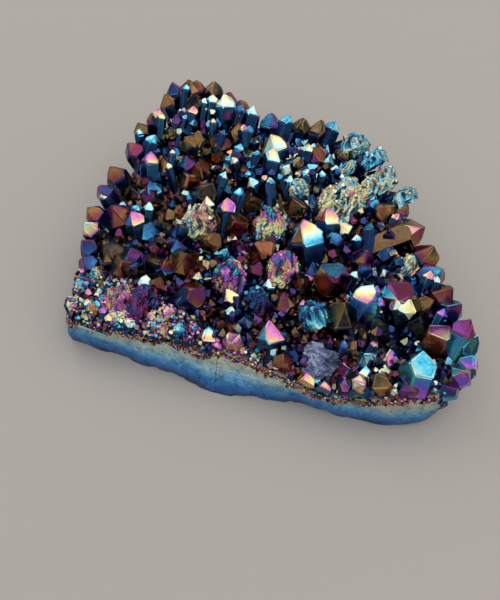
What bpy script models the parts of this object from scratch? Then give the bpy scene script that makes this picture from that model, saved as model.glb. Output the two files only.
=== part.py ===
"""Aura quartz cluster: a slab of matrix with one flat front wall and a bed of coated quartz crystals.

Frame: +Z up, the flat underside on z = 0 and the origin in its middle. +X runs along the front
wall to the right, and -Y points out of the wall. Sizes are in millimetres and angles in degrees
until MM and math.radians turn them into Blender's units.
"""

import math
import random

import bmesh
import bpy
from mathutils import Matrix, Vector

MM = 0.001

NODE_NAME = "aura_quartz_cluster"
SEED = 17

# Slab of matrix: its edge from the front left corner, anticlockwise, seen from above.
SLAB_EDGE = (
    (-43.5, -37.6), (-35.0, -38.6), (-20.0, -38.5), (-6.0, -38.4), (4.0, -39.3), (12.0, -40.9),
    (22.0, -41.8), (33.0, -41.0), (40.0, -38.8), (44.5, -36.0), (47.5, -29.0), (46.0, -19.0),
    (39.0, -5.0), (31.5, 5.5), (26.0, 14.0), (15.5, 24.0), (5.0, 30.5), (-12.0, 32.0),
    (-22.0, 35.0), (-30.0, 38.5), (-37.5, 37.5), (-40.5, 28.0), (-43.0, 17.0), (-44.5, 4.0),
    (-45.3, -10.0), (-45.5, -25.0), (-45.0, -34.0),
)
SLAB_MIDDLE = (-3.0, -8.0)
SLAB_GRID = (14, 9)       # squares of the bed along X and Y
RIM_SHARE = 0.99
SHOULDER = 1.0            # drop of the bed at the slab's edge
WALL_ROWS = 3             # steps down the wall
WALL_BULGE = 0.5          # how far the wall's middle stands out
WALL_ROUGHNESS = 0.25
FOOT_INSET = 0.4          # how far the chipped lower edge draws in
FRONT_BELOW = -36.5       # the edge is part of the front wall where its Y is less than this

# How far the front wall's foot stands out, as (X, distance) from left to right.
FOOT_FLARE = (
    (-44.0, 1.2), (-33.0, 1.4), (-23.0, 3.0), (-16.0, 3.1), (-9.5, 4.9), (-5.5, 5.2), (0.0, 4.4),
    (9.0, 1.9), (14.0, 0.0), (26.0, 0.0), (34.0, 1.3), (43.0, 1.2),
)

# Bed that the crystals stand on.
BED_HEIGHT = 11.3
BED_RISE_TO_BACK = 2.4    # over the slab's whole depth
BED_DEPTH = 80.0
BED_LUMP = 0.7
BED_ROUGHNESS = 0.35
LOW_CORNER = (-40.0, -36.0)     # the bed sinks towards this corner
LOW_CORNER_DROP = 2.0
LOW_CORNER_REACH = 26.0
WALL_SAG_AT = (18.5, -43.0)     # the wall is lowest here
WALL_SAG = 3.8
WALL_SAG_REACH = 16.0

# Quartz: the angle between the crystal's axis and the normal of a pyramid face.
PYRAMID_ANGLE = 51.8
ROOT_DEPTH = 2.2
LONGEST_IN_WIDTHS = 3.2
CUT_INSET = 0.5           # crystals end this far inside the front wall
CUT_REACH = 7.0           # how near its tip a front side cuts a crystal

# Two ways that many pyramid faces look, as (azimuth, tilt from straight up).
LOOKS = {"east": (-28.0, 23.0), "west": (194.0, 15.0)}

# Crystals with one pyramid face that looks east or west:
# tip x, tip y, tip height, width across the flats, heading of the tip, look of that face.
FACING_CRYSTALS = (
    # back rim, from the top of the slab to the right
    (-25.0, 35.0, 24.0, 6.0, 125, "east"), (-28.5, 35.0, 23.0, 3.6, 110, "east"),
    (-16.4, 34.2, 22.3, 4.4, 105, "east"), (-32.5, 30.0, 22.0, 3.4, 100, "east"),
    (-9.0, 24.0, 22.0, 6.8, 140, "east"), (-7.0, 20.0, 21.0, 5.6, 105, "east"),
    (-6.0, 34.3, 21.0, 4.4, 60, "west"), (6.8, 34.8, 21.0, 4.2, 60, "west"),
    (1.5, 24.0, 21.0, 3.6, 100, "east"), (13.5, 21.0, 20.0, 3.4, 60, "west"),
    # left rim
    (-42.2, 27.0, 21.5, 3.8, 120, "east"), (-39.5, 17.0, 21.0, 4.2, 60, "west"),
    (-38.5, 10.5, 21.0, 5.0, 120, "east"), (-36.5, -9.5, 19.0, 5.0, 140, "east"),
    (-28.2, -23.8, 14.0, 4.4, 110, "east"),
    # pale etched ridges
    (18.5, 17.0, 19.5, 6.2, 150, "east"), (15.5, 13.0, 19.0, 6.0, 130, "east"),
    (17.0, 10.0, 18.0, 5.0, 110, "east"), (9.0, 11.5, 19.0, 5.6, 150, "east"),
    (11.0, 8.5, 18.0, 5.0, 120, "east"), (24.0, 18.5, 19.5, 4.2, 60, "west"),
    (1.0, 12.0, 19.0, 4.6, 130, "east"), (3.0, 17.0, 19.0, 3.6, 100, "east"),
    # middle
    (-11.0, 8.5, 20.0, 3.6, 150, "east"), (-12.0, 4.5, 20.0, 3.6, 70, "west"),
    (-14.5, 0.0, 20.0, 5.0, 115, "east"), (-20.0, 0.0, 19.0, 3.8, 130, "east"),
    (5.5, -3.8, 21.5, 8.6, 133, "east"), (10.5, 4.0, 19.0, 5.8, 120, "east"),
    (14.0, 0.5, 18.0, 4.2, 165, "east"), (12.5, -3.0, 18.0, 4.2, 150, "east"),
    (-8.0, -17.5, 18.5, 7.0, 110, "east"), (-20.5, -3.5, 19.5, 7.6, 120, "east"),
    (-2.5, -0.5, 19.5, 7.2, 110, "east"), (4.0, -12.0, 18.5, 7.4, 100, "east"),
    (-8.0, -24.5, 16.0, 4.4, 150, "east"), (3.5, -30.0, 15.5, 6.8, 130, "east"),
    # right
    (33.5, -3.5, 17.0, 5.4, 60, "west"), (24.8, -16.5, 18.5, 6.6, 60, "west"),
    (37.5, -30.0, 17.0, 7.4, 105, "east"), (26.5, -35.0, 13.5, 5.6, 110, "east"),
    (30.5, -33.5, 13.5, 4.0, 110, "east"), (31.0, -30.0, 14.5, 4.8, 120, "east"),
    (49.0, -28.0, 16.0, 4.8, 40, "west"), (46.6, -20.6, 18.5, 6.0, 60, "west"),
    (35.5, -35.0, 12.0, 4.2, 110, "east"),
    # front rim
    (14.5, -38.5, 11.5, 4.2, 110, "east"), (18.5, -39.5, 11.0, 3.6, 110, "east"),
    (-9.5, -33.5, 13.0, 4.6, 110, "east"),
)

# Crystals that stand freely:
# tip x, tip y, tip height, width across the flats, heading of the lean, lean, turn.
FREE_CRYSTALS = (
    # back rim
    (-37.0, 38.5, 24.0, 6.2, 130, 18, 10), (-33.0, 33.5, 23.5, 5.8, 90, 14, 40),
    (-20.5, 35.5, 22.5, 5.2, 95, 16, 25), (-18.5, 26.0, 22.0, 5.6, 60, 10, 0),
    (-11.0, 33.3, 21.5, 5.6, 90, 22, 35), (-2.0, 33.0, 21.8, 5.4, 70, 12, 15),
    (3.0, 34.2, 21.3, 6.0, 80, 24, 45), (10.8, 31.0, 20.8, 5.0, 60, 26, 5),
    (14.2, 30.8, 20.2, 4.6, 50, 32, 20), (2.5, 23.0, 20.5, 5.8, 200, 16, 30),
    (12.0, 26.5, 20.5, 5.2, 30, 14, 50), (21.0, 21.0, 20.0, 4.4, 40, 26, 10),
    (-42.0, 38.5, 22.3, 5.2, 140, 22, 20), (-34.8, 40.0, 23.2, 4.8, 95, 16, 30),
    (-29.8, 40.9, 23.2, 5.6, 80, 20, 0), (-24.5, 38.0, 22.5, 4.6, 80, 18, 40),
    (17.5, 26.5, 20.3, 5.0, 45, 26, 10), (27.0, 15.8, 19.0, 4.8, 40, 30, 30),
    (29.5, 11.5, 18.3, 4.6, 20, 26, 0),
    # left rim
    (-42.5, 33.0, 22.0, 5.0, 160, 24, 15), (-46.2, 20.8, 20.6, 5.0, 170, 28, 0),
    (-45.8, 12.5, 20.5, 5.6, 180, 24, 35), (-47.3, 3.0, 20.0, 5.4, 175, 26, 20),
    (-47.5, -4.0, 19.8, 4.6, 180, 28, 50), (-47.5, -11.5, 19.3, 4.8, 190, 28, 30),
    (-46.8, -15.2, 18.2, 4.8, 190, 22, 10), (-46.4, -19.2, 16.0, 5.0, 190, 26, 10),
    (-45.0, -23.5, 14.5, 4.8, 195, 24, 40), (-44.0, 25.5, 20.8, 4.4, 150, 22, 5),
    # top left field
    (-29.0, 21.5, 21.0, 6.0, 120, 12, 20), (-31.5, 18.0, 21.0, 5.2, 200, 16, 45),
    (-25.5, 10.0, 20.0, 6.2, 260, 14, 5), (-26.5, 5.5, 19.5, 6.0, 300, 22, 30),
    (-22.0, 21.5, 21.0, 5.6, 30, 10, 50), (-34.5, 9.5, 20.0, 5.0, 150, 16, 15),
    (-35.5, 0.5, 20.0, 5.0, 170, 14, 25), (-29.0, 12.0, 20.0, 4.8, 80, 20, 0),
    (-41.5, -10.0, 20.0, 7.0, 200, 12, 40), (-33.5, -1.5, 19.0, 5.4, 330, 20, 20),
    # middle
    (-19.5, 4.0, 20.0, 6.4, 20, 24, 10), (1.5, 4.5, 19.0, 6.4, 250, 16, 35),
    (-9.0, 3.0, 19.5, 6.0, 290, 20, 5), (-11.0, -6.5, 19.0, 6.4, 280, 26, 30),
    (-16.0, -4.5, 18.5, 5.6, 250, 14, 0), (-4.5, -11.5, 18.5, 6.2, 200, 28, 45),
    (-19.5, -19.0, 18.5, 7.4, 310, 14, 20), (-16.0, -13.0, 18.0, 5.4, 260, 30, 0),
    (16.0, -18.5, 20.5, 8.0, 285, 30, 60), (12.0, 15.5, 19.0, 5.0, 10, 16, 35),
    (18.5, -1.0, 17.5, 5.2, 240, 24, 20), (22.0, -5.5, 17.0, 5.4, 60, 20, 10),
    (11.0, -23.5, 16.5, 5.8, 250, 18, 40), (5.5, -22.5, 16.5, 5.4, 120, 20, 15),
    (19.2, -23.4, 19.0, 8.0, 100, 8, 5), (-1.0, -22.5, 16.5, 5.4, 200, 18, 50),
    (-4.5, -26.5, 16.0, 6.4, 310, 12, 20), (11.0, -28.5, 14.5, 5.4, 260, 16, 30),
    (16.0, -27.5, 14.5, 5.6, 280, 20, 0), (-12.5, -26.0, 17.0, 6.0, 24, 46, 10),
    (1.0, -35.0, 13.0, 4.6, 280, 14, 20), (4.5, -36.5, 12.5, 5.0, 270, 18, 45),
    (8.0, -34.0, 12.5, 4.6, 300, 18, 25),
    # middle left, gold and magenta
    (-39.5, -20.0, 17.5, 6.4, 190, 14, 30), (-33.0, -19.5, 17.5, 6.0, 80, 12, 0),
    (-34.0, -23.5, 17.0, 6.2, 300, 18, 20), (-28.5, -22.0, 17.0, 5.2, 250, 22, 45),
    (-31.5, -10.5, 17.5, 6.0, 30, 10, 5), (-24.0, -20.0, 16.5, 4.6, 70, 24, 15),
    # right
    (26.0, 8.0, 19.5, 6.2, 320, 22, 40), (34.5, 4.0, 18.5, 7.0, 20, 62, 30),
    (28.0, 7.0, 17.5, 4.4, 300, 28, 10), (37.0, -2.5, 19.5, 6.0, 30, 24, 20),
    (39.4, -8.2, 18.3, 6.4, 340, 24, 0), (42.4, -12.6, 18.0, 5.8, 15, 28, 35),
    (31.8, -20.8, 19.5, 7.8, 285, 45, 60), (36.0, -22.0, 17.0, 7.6, 250, 12, 20),
    (48.5, -23.7, 17.5, 6.2, 20, 34, 30), (41.9, -27.6, 18.5, 7.6, 285, 28, 60),
    (48.0, -32.0, 15.5, 5.6, 330, 26, 40), (25.5, -32.5, 14.5, 4.8, 200, 14, 0),
    (23.0, -36.0, 12.5, 4.2, 290, 18, 30), (39.0, -34.5, 12.5, 5.4, 300, 30, 10),
    (45.8, -35.8, 13.5, 5.0, 310, 30, 45), (27.5, -3.0, 17.0, 4.8, 80, 22, 15),
    (44.5, -16.5, 18.0, 5.4, 10, 28, 20),
)

# Starts of the small pyramid faces, as shares of a crystal's half width.
SMALL_FACES = (0.15, 0.85)
SIX_EQUAL_FACES = (0.0, 0.0, 0.0)
UNEVEN_FROM_WIDTH = 6.0   # narrower crystals have six equal pyramid faces

# Smaller crystals that fill the bed between those above.
FILL_TRIES = 4000
FILL_SPREAD = 0.48        # least distance between two crystals, as a share of both widths
FILL_WIDTH = (3.6, 5.2)
FILL_RISE = (2.6, 5.4)
FILL_LEAN = (4.0, 26.0)
FILL_EDGE_LEAN = 24.0     # added lean outwards at the slab's edge
FILL_EDGE_REACH = 7.0

# Low druse: short crystals in the corner in front of this line.
DRUSE_LINE_FROM = (-44.0, -14.0)
DRUSE_LINE_TO = (-6.0, -38.0)
DRUSE_TRIES = 6000
DRUSE_SPREAD = 0.45
DRUSE_WIDTH = (2.8, 4.2)
DRUSE_RISE = (1.2, 2.8)
DRUSE_LEAN = (0.0, 30.0)

# Bare broken patch near the front edge.
PATCH_AT = (16.5, -34.0)
PATCH_SIZE = (6.6, 5.0, 4.4)
PATCH_CRUMPLE = 0.14      # as a share of the patch's size

COAT_COLOUR = (0.055, 0.075, 0.13, 1.0)
COAT_ROUGHNESS = 0.25
COAT_METALLIC = 0.9


def smooth_step(value):
    """Ease from 0 to 1."""
    value = min(max(value, 0.0), 1.0)
    return value * value * (3.0 - 2.0 * value)


def direction(azimuth, tilt):
    """Unit vector that looks to an azimuth, tilted from straight up."""
    turn, lean = math.radians(azimuth), math.radians(tilt)
    return Vector((math.sin(lean) * math.cos(turn), math.sin(lean) * math.sin(turn), math.cos(lean)))


def edge_sides():
    """The straight sides of the slab's edge, as pairs of corners."""
    corners = [Vector(corner) for corner in SLAB_EDGE]
    return list(zip(corners, corners[1:] + corners[:1]))


def edge_point(share):
    """Point on the slab's edge, at a share of the way around it."""
    sides = edge_sides()
    left = share % 1.0 * sum((end - start).length for start, end in sides)
    for start, end in sides:
        length = (end - start).length
        if left <= length:
            return start.lerp(end, left / length)
        left -= length
    return sides[0][0].copy()


def distance_to_side(point, start, end):
    """Plan distance from a point to a straight side."""
    along = end - start
    share = min(max((point - start).dot(along) / along.length_squared, 0.0), 1.0)
    return (point - start - along * share).length


def edge_distance(x, y):
    """Distance inside the slab's edge, negative outside it."""
    point = Vector((x, y))
    inside = False
    for start, end in edge_sides():
        if (start.y > y) != (end.y > y):
            crossing = start.x + (y - start.y) * (end.x - start.x) / (end.y - start.y)
            inside = inside != (x < crossing)
    nearest = min(distance_to_side(point, start, end) for start, end in edge_sides())
    return nearest if inside else -nearest


def bed_height(x, y):
    """Height of the bed that the crystals stand on."""
    height = BED_HEIGHT + BED_RISE_TO_BACK * (y / BED_DEPTH + 0.5)
    height += BED_LUMP * math.sin(0.31 * x + 0.5) * math.cos(0.27 * y + 0.21 * x)
    corner = math.hypot(x - LOW_CORNER[0], y - LOW_CORNER[1])
    height -= LOW_CORNER_DROP * smooth_step(1.0 - corner / LOW_CORNER_REACH)
    sag = math.hypot(x - WALL_SAG_AT[0], y - WALL_SAG_AT[1])
    return height - WALL_SAG * smooth_step(1.0 - sag / WALL_SAG_REACH)


def square_share(u, v):
    """Share of the way around a square at which a point of it lies, from its lower left corner."""
    reach = max(abs(u), abs(v), 1.0e-9)
    along_u, along_v = (u / reach + 1.0) / 8.0, (v / reach + 1.0) / 8.0
    if v <= -reach + 1.0e-6:
        return along_u
    if u >= reach - 1.0e-6:
        return 0.25 + along_v
    if v >= reach - 1.0e-6:
        return 0.75 - along_u
    return 1.0 - along_v


def foot_flare(x):
    """How far the foot of the front wall stands out at a place along it."""
    for (left, here), (right, there) in zip(FOOT_FLARE, FOOT_FLARE[1:]):
        if left <= x < right:
            return here + (there - here) * (x - left) / (right - left)
    return 0.0


def wall_spread(x, y, share):
    """How far a slab side stands out from the slab's edge, at a share of the way to its foot."""
    spread = WALL_BULGE * math.sin(math.pi * share) - FOOT_INSET * share ** 3
    return spread + (foot_flare(x) * share if y < FRONT_BELOW else 0.0)


def make_slab():
    """A grid drawn out to the slab's edge, its rim drawn down to a flat underside."""
    chance = random.Random(SEED)
    middle = Vector(SLAB_MIDDLE)
    bm = bmesh.new()
    bmesh.ops.create_grid(bm, x_segments=SLAB_GRID[0], y_segments=SLAB_GRID[1], size=1.0)
    for vert in bm.verts:
        u, v = vert.co.xy
        reach = max(abs(u), abs(v))
        place = middle.lerp(edge_point(square_share(u, v)), reach)
        drop = SHOULDER if reach > RIM_SHARE else chance.uniform(-BED_ROUGHNESS, BED_ROUGHNESS)
        vert.co = (place.x, place.y, bed_height(place.x, place.y) - drop)
    rim = [edge for edge in bm.edges if edge.is_boundary]
    for row in range(1, WALL_ROWS + 1):
        above, share = (row - 1) / WALL_ROWS, row / WALL_ROWS
        made = bmesh.ops.extrude_edge_only(bm, edges=rim)["geom"]
        rim = [item for item in made if isinstance(item, bmesh.types.BMEdge)]
        for vert in [item for item in made if isinstance(item, bmesh.types.BMVert)]:
            x, y = vert.co.xy
            outward = (vert.co.xy - middle).normalized()
            spread = wall_spread(x, y, share) - wall_spread(x, y, above)
            spread += chance.uniform(-WALL_ROUGHNESS, WALL_ROUGHNESS)
            height = vert.co.z * (WALL_ROWS - row) / (WALL_ROWS - row + 1.0)
            vert.co = (x + outward.x * spread, y + outward.y * spread, height)
    bmesh.ops.contextual_create(bm, geom=rim)
    bmesh.ops.recalc_face_normals(bm, faces=bm.faces)
    return bm


def axes_from_face(look, heading):
    """Crystal axes with the first pyramid face looking one way and the tip heading another."""
    face = direction(*LOOKS[look])
    sideways = direction(heading, 90.0)
    sideways = (sideways - face * sideways.dot(face)).normalized()
    angle = math.radians(PYRAMID_ANGLE)
    axis = face * math.cos(angle) + sideways * math.sin(angle)
    across = (face - axis * face.dot(axis)).normalized()
    return Matrix((across, axis.cross(across), axis)).transposed()


def axes_from_lean(heading, lean, turn):
    """Crystal axes leaning towards a heading, turned about the crystal's own axis."""
    turned = Matrix.Rotation(math.radians(turn), 3, "Z")
    leaned = Matrix.Rotation(math.radians(lean), 3, "Y")
    return Matrix.Rotation(math.radians(heading), 3, "Z") @ leaned @ turned


def root_length(tip, axis, width):
    """Length from the tip down the axis to just below the bed."""
    length = width
    for _ in range(4):
        foot = tip - axis * length
        depth = tip.z - bed_height(foot.x, foot.y) + ROOT_DEPTH
        length = depth / axis.z
    return min(length, width * LONGEST_IN_WIDTHS)


def cut_away(bm, point, normal):
    """Cut off what lies outside a plane and close the cut."""
    parts = bm.verts[:] + bm.edges[:] + bm.faces[:]
    made = bmesh.ops.bisect_plane(
        bm, geom=parts, dist=1.0e-4, plane_co=point, plane_no=normal, clear_outer=True
    )["geom_cut"]
    edges = [item for item in made if isinstance(item, bmesh.types.BMEdge)]
    if len(edges) > 2:
        bmesh.ops.contextual_create(bm, geom=edges)


def cut_to_front_wall(bm, tip):
    """Cut off what would run out through the front sides of the slab near a crystal."""
    for start, end in edge_sides():
        if max(start.y, end.y) > FRONT_BELOW or distance_to_side(tip.xy, start, end) > CUT_REACH:
            continue
        along = (end - start).normalized()
        outward = Vector((along.y, -along.x, 0.0))
        cut_away(bm, start.to_3d() - outward * CUT_INSET, outward)


def add_crystal(target, tip, width, axes, small_faces):
    """A six-sided prism under a tip of three large pyramid faces and three small ones.

    small_faces holds, for each small face, how far out from the axis it starts, as a share of the
    half width. At 0 all six faces are alike.
    """
    half = width / 2.0
    length = root_length(tip, axes.col[2], width)
    bm = bmesh.new()
    bmesh.ops.create_cone(
        bm, cap_ends=True, segments=6, radius1=half / math.cos(math.pi / 6.0),
        radius2=half / math.cos(math.pi / 6.0), depth=length,
        matrix=Matrix.Translation((0.0, 0.0, -length / 2.0)),
    )
    for face in range(3):
        cut_away(bm, Vector((0.0, 0.0, 0.0)), direction(120.0 * face, PYRAMID_ANGLE))
    for face, start in enumerate(small_faces):
        rise = half * start * math.tan(math.radians(PYRAMID_ANGLE)) / 2.0
        cut_away(bm, Vector((0.0, 0.0, rise)), direction(60.0 + 120.0 * face, PYRAMID_ANGLE))
    bmesh.ops.transform(bm, matrix=Matrix.Translation(tip) @ axes.to_4x4(), verts=bm.verts)
    cut_to_front_wall(bm, tip)
    mesh = bpy.data.meshes.new("crystal")
    bm.to_mesh(mesh)
    bm.free()
    target.from_mesh(mesh)
    bpy.data.meshes.remove(mesh)


def in_low_druse(x, y):
    """Whether a place lies in the front left corner, in front of the druse line."""
    start, end = Vector(DRUSE_LINE_FROM), Vector(DRUSE_LINE_TO)
    return (end - start).cross(Vector((x, y)) - start) < 0.0


def on_bare_patch(x, y):
    """Whether a place lies on the bare broken patch."""
    return math.hypot((x - PATCH_AT[0]) / PATCH_SIZE[0], (y - PATCH_AT[1]) / PATCH_SIZE[1]) < 1.0


def scatter(chance, taken, tries, widths, spread, wanted):
    """Random places on the bed, each with a width, that keep clear of those already taken."""
    found = []
    for _ in range(tries):
        x, y = chance.uniform(-46.0, 49.0), chance.uniform(-41.0, 40.0)
        width = chance.uniform(*widths)
        if edge_distance(x, y) < 0.0 or on_bare_patch(x, y) or not wanted(x, y):
            continue
        if all(math.hypot(x - px, y - py) > spread * (width + pw) for px, py, pw in taken):
            taken.append((x, y, width))
            found.append((x, y, width))
    return found


def add_fill(target, taken):
    """The smaller crystals between the placed ones, leaning outwards along the slab's edge."""
    chance = random.Random(SEED + 1)

    def wanted(x, y):
        return not in_low_druse(x, y)

    for x, y, width in scatter(chance, taken, FILL_TRIES, FILL_WIDTH, FILL_SPREAD, wanted):
        room = edge_distance(x, y)
        lean = chance.uniform(*FILL_LEAN)
        heading = chance.uniform(0.0, 360.0)
        if room < FILL_EDGE_REACH:
            lean += FILL_EDGE_LEAN * (1.0 - room / FILL_EDGE_REACH)
            heading = math.degrees(math.atan2(y - SLAB_MIDDLE[1], x - SLAB_MIDDLE[0]))
        tip = Vector((x, y, bed_height(x, y) + chance.uniform(*FILL_RISE)))
        axes = axes_from_lean(heading, lean, chance.uniform(0.0, 120.0))
        add_crystal(target, tip, width, axes, SIX_EQUAL_FACES)


def add_low_druse(target, taken):
    """Short stout crystals of the front left corner."""
    chance = random.Random(SEED + 3)
    for x, y, width in scatter(chance, taken, DRUSE_TRIES, DRUSE_WIDTH, DRUSE_SPREAD, in_low_druse):
        tip = Vector((x, y, bed_height(x, y) + chance.uniform(*DRUSE_RISE)))
        lean = chance.uniform(*DRUSE_LEAN)
        axes = axes_from_lean(chance.uniform(0.0, 360.0), lean, chance.uniform(0.0, 120.0))
        add_crystal(target, tip, width, axes, SIX_EQUAL_FACES)


def add_bare_patch(target):
    """A low crumpled mound of broken quartz."""
    chance = random.Random(SEED + 4)
    made = bmesh.ops.create_icosphere(target, subdivisions=2, radius=1.0)["verts"]
    for vert in made:
        swell = 1.0 + chance.uniform(-PATCH_CRUMPLE, PATCH_CRUMPLE)
        vert.co = Vector(PATCH_SIZE) * vert.co * swell
        vert.co += Vector((*PATCH_AT, bed_height(*PATCH_AT) - SHOULDER))


def make_crystals():
    """Every crystal as a closed shape of its own, all in one mesh, with the bare patch's mound."""
    chance = random.Random(SEED + 2)
    bm = bmesh.new()
    placed = []
    for x, y, z, width, heading, look in FACING_CRYSTALS:
        placed.append((Vector((x, y, z)), width, axes_from_face(look, heading)))
    for x, y, z, width, heading, lean, turn in FREE_CRYSTALS:
        placed.append((Vector((x, y, z)), width, axes_from_lean(heading, lean, turn)))
    for tip, width, axes in placed:
        uneven = [chance.uniform(*SMALL_FACES) for _ in range(3)]
        add_crystal(bm, tip, width, axes, uneven if width >= UNEVEN_FROM_WIDTH else SIX_EQUAL_FACES)
    taken = [(tip.x, tip.y, width) for tip, width, _ in placed]
    add_fill(bm, taken)
    add_low_druse(bm, taken)
    add_bare_patch(bm)
    bmesh.ops.recalc_face_normals(bm, faces=bm.faces)
    return bm


def new_object(name, bm, collection):
    """Turn a bmesh in millimetres into an object in metres."""
    mesh = bpy.data.meshes.new(name)
    bmesh.ops.scale(bm, vec=(MM, MM, MM), verts=bm.verts)
    bm.to_mesh(mesh)
    bm.free()
    item = bpy.data.objects.new(name, mesh)
    collection.objects.link(item)
    return item


def keep_outer_shell(bm):
    """Delete the small shells that the union leaves around sealed pockets."""
    waiting = set(bm.verts)
    shells = []
    while waiting:
        front = [waiting.pop()]
        shell = set(front)
        while front:
            for edge in front.pop().link_edges:
                reached = waiting.intersection(edge.verts)
                waiting -= reached
                shell |= reached
                front.extend(reached)
        shells.append(shell)
    shells.sort(key=len)
    for shell in shells[:-1]:
        bmesh.ops.delete(bm, geom=list(shell), context="VERTS")


def coat_material():
    """Dark blue metallic coat on quartz."""
    material = bpy.data.materials.new("coated_quartz")
    material.use_nodes = True
    shader = material.node_tree.nodes["Principled BSDF"]
    shader.inputs["Base Color"].default_value = COAT_COLOUR
    shader.inputs["Metallic"].default_value = COAT_METALLIC
    shader.inputs["Roughness"].default_value = COAT_ROUGHNESS
    return material


def join_crystals(slab, crystals):
    """Grow the crystals and the slab together into one closed mesh."""
    union = slab.modifiers.new("crystals", "BOOLEAN")
    union.operation = "UNION"
    union.object = crystals
    union.solver = "EXACT"
    union.use_self = True
    depsgraph = bpy.context.evaluated_depsgraph_get()
    mesh = bpy.data.meshes.new_from_object(slab.evaluated_get(depsgraph))
    slab.modifiers.remove(union)
    bm = bmesh.new()
    bm.from_mesh(mesh)
    keep_outer_shell(bm)
    bm.to_mesh(mesh)
    bm.free()
    mesh.name = NODE_NAME
    mesh.materials.clear()
    mesh.materials.append(coat_material())
    slab.data = mesh


def main():
    """Build the cluster as one closed solid."""
    for item in list(bpy.data.objects):
        bpy.data.objects.remove(item, do_unlink=True)
    parts = bpy.data.collections.new("aura_quartz")
    helpers = bpy.data.collections.new("helpers")
    for collection in (parts, helpers):
        bpy.context.scene.collection.children.link(collection)
    slab = new_object(NODE_NAME, make_slab(), parts)
    crystals = new_object("crystals", make_crystals(), helpers)
    crystals.hide_render = True
    crystals.display_type = "WIRE"
    join_crystals(slab, crystals)


if __name__ == "__main__":
    main()
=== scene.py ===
"""Aura quartz cluster: the finish of its crystals, druse and matrix, and a small studio for it.

Every size below is in millimetres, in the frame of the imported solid: +X along the front wall,
-Y out of it, +Z up from the flat underside. MM turns them into metres where a mesh is made.
"""

import math
import random

import bmesh
import bpy
import numpy
from mathutils import Matrix, Vector, noise


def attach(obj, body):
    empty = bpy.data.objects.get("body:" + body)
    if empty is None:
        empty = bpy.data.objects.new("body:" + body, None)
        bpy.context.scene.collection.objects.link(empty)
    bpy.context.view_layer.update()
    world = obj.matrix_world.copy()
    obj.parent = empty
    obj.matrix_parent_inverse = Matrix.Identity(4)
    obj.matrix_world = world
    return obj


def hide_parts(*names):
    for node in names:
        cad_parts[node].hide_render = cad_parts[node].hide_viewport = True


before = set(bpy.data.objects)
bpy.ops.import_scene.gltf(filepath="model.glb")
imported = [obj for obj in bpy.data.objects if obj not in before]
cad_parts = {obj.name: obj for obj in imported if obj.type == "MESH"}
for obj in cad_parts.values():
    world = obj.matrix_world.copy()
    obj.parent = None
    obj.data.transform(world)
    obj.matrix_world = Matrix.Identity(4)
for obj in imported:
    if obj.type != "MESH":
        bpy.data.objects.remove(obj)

bl_info = {
    "name": "Aura Quartz Cluster",
    "version": (1, 0, 0),
    "blender": (4, 5, 0),
    "location": "3D View > Sidebar > Cluster",
    "description": "Builds the coated crystals, druse, matrix and studio of an aura quartz cluster",
    "category": "Object",
}

MM = 0.001
NODE = "aura_quartz_cluster"
BODY = "root"
SEED = 17
SWIRL_SEED = 34           # for the noise that bends etched and broken quartz

# --- Slab of matrix ------------------------------------------------------------------------------

# The slab's edge from the front left corner, anticlockwise, seen from above.
SLAB_EDGE = (
    (-43.5, -37.6), (-35.0, -38.6), (-20.0, -38.5), (-6.0, -38.4), (4.0, -39.3), (12.0, -40.9),
    (22.0, -41.8), (33.0, -41.0), (40.0, -38.8), (44.5, -36.0), (47.5, -29.0), (46.0, -19.0),
    (39.0, -5.0), (31.5, 5.5), (26.0, 14.0), (15.5, 24.0), (5.0, 30.5), (-12.0, 32.0),
    (-22.0, 35.0), (-30.0, 38.5), (-37.5, 37.5), (-40.5, 28.0), (-43.0, 17.0), (-44.5, 4.0),
    (-45.3, -10.0), (-45.5, -25.0), (-45.0, -34.0),
)
SLAB_MIDDLE = (-3.0, -8.0)
SLAB_GRID = (92, 68)      # cells of the bed's grid
SHOULDER = 1.0            # how far the bed drops at the slab's edge
WALL_ROWS = 18            # rows of faces down the slab's sides
WALL_BULGE = 0.5          # how far the sides stand out at half height
FOOT_INSET = 0.4          # and how far they draw in at the foot
FRONT_BELOW = -36.5       # the edge is part of the front wall where its Y is less than this
# How far the front wall's foot stands out, as (X, distance) from left to right.
FOOT_FLARE = (
    (-44.0, 1.2), (-33.0, 1.4), (-23.0, 3.0), (-16.0, 3.1), (-9.5, 4.9), (-5.5, 5.2), (0.0, 4.4),
    (9.0, 1.9), (14.0, 0.0), (26.0, 0.0), (34.0, 1.3), (43.0, 1.2),
)
BED_HEIGHT = 11.3         # at the front
BED_RISE_TO_BACK = 2.4    # over the bed's depth
BED_DEPTH = 80.0
BED_LUMP = 0.7            # height of its broad lumps
LOW_CORNER = (-40.0, -36.0)
LOW_CORNER_DROP = 2.0
LOW_CORNER_REACH = 26.0
WALL_SAG_AT = (18.5, -43.0)     # where the front wall's top sags most
WALL_SAG = 3.8
WALL_SAG_REACH = 16.0

# --- Quartz --------------------------------------------------------------------------------------

PYRAMID_ANGLE = 51.8      # between the crystal's axis and the normal of a pyramid face
PYRAMID_SLOPE = math.tan(math.radians(PYRAMID_ANGLE))
ROOT_DEPTH = 2.2          # how far a crystal goes down below the bed
LONGEST_IN_WIDTHS = 3.2   # its greatest length, in its widths
SHORTEST_WIDTH = 3.0      # and the least width taken for that
CUT_INSET = 0.5           # how far inside the slab's front edge prisms are cut
CUT_REACH = 7.0           # distance from that edge at which they are cut
SMALL_FACES = (0.15, 0.85)      # where small pyramid faces start, in half widths
LOOKS = {"east": (-28.0, 23.0), "west": (194.0, 15.0)}    # azimuth and tilt of a lit face

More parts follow.
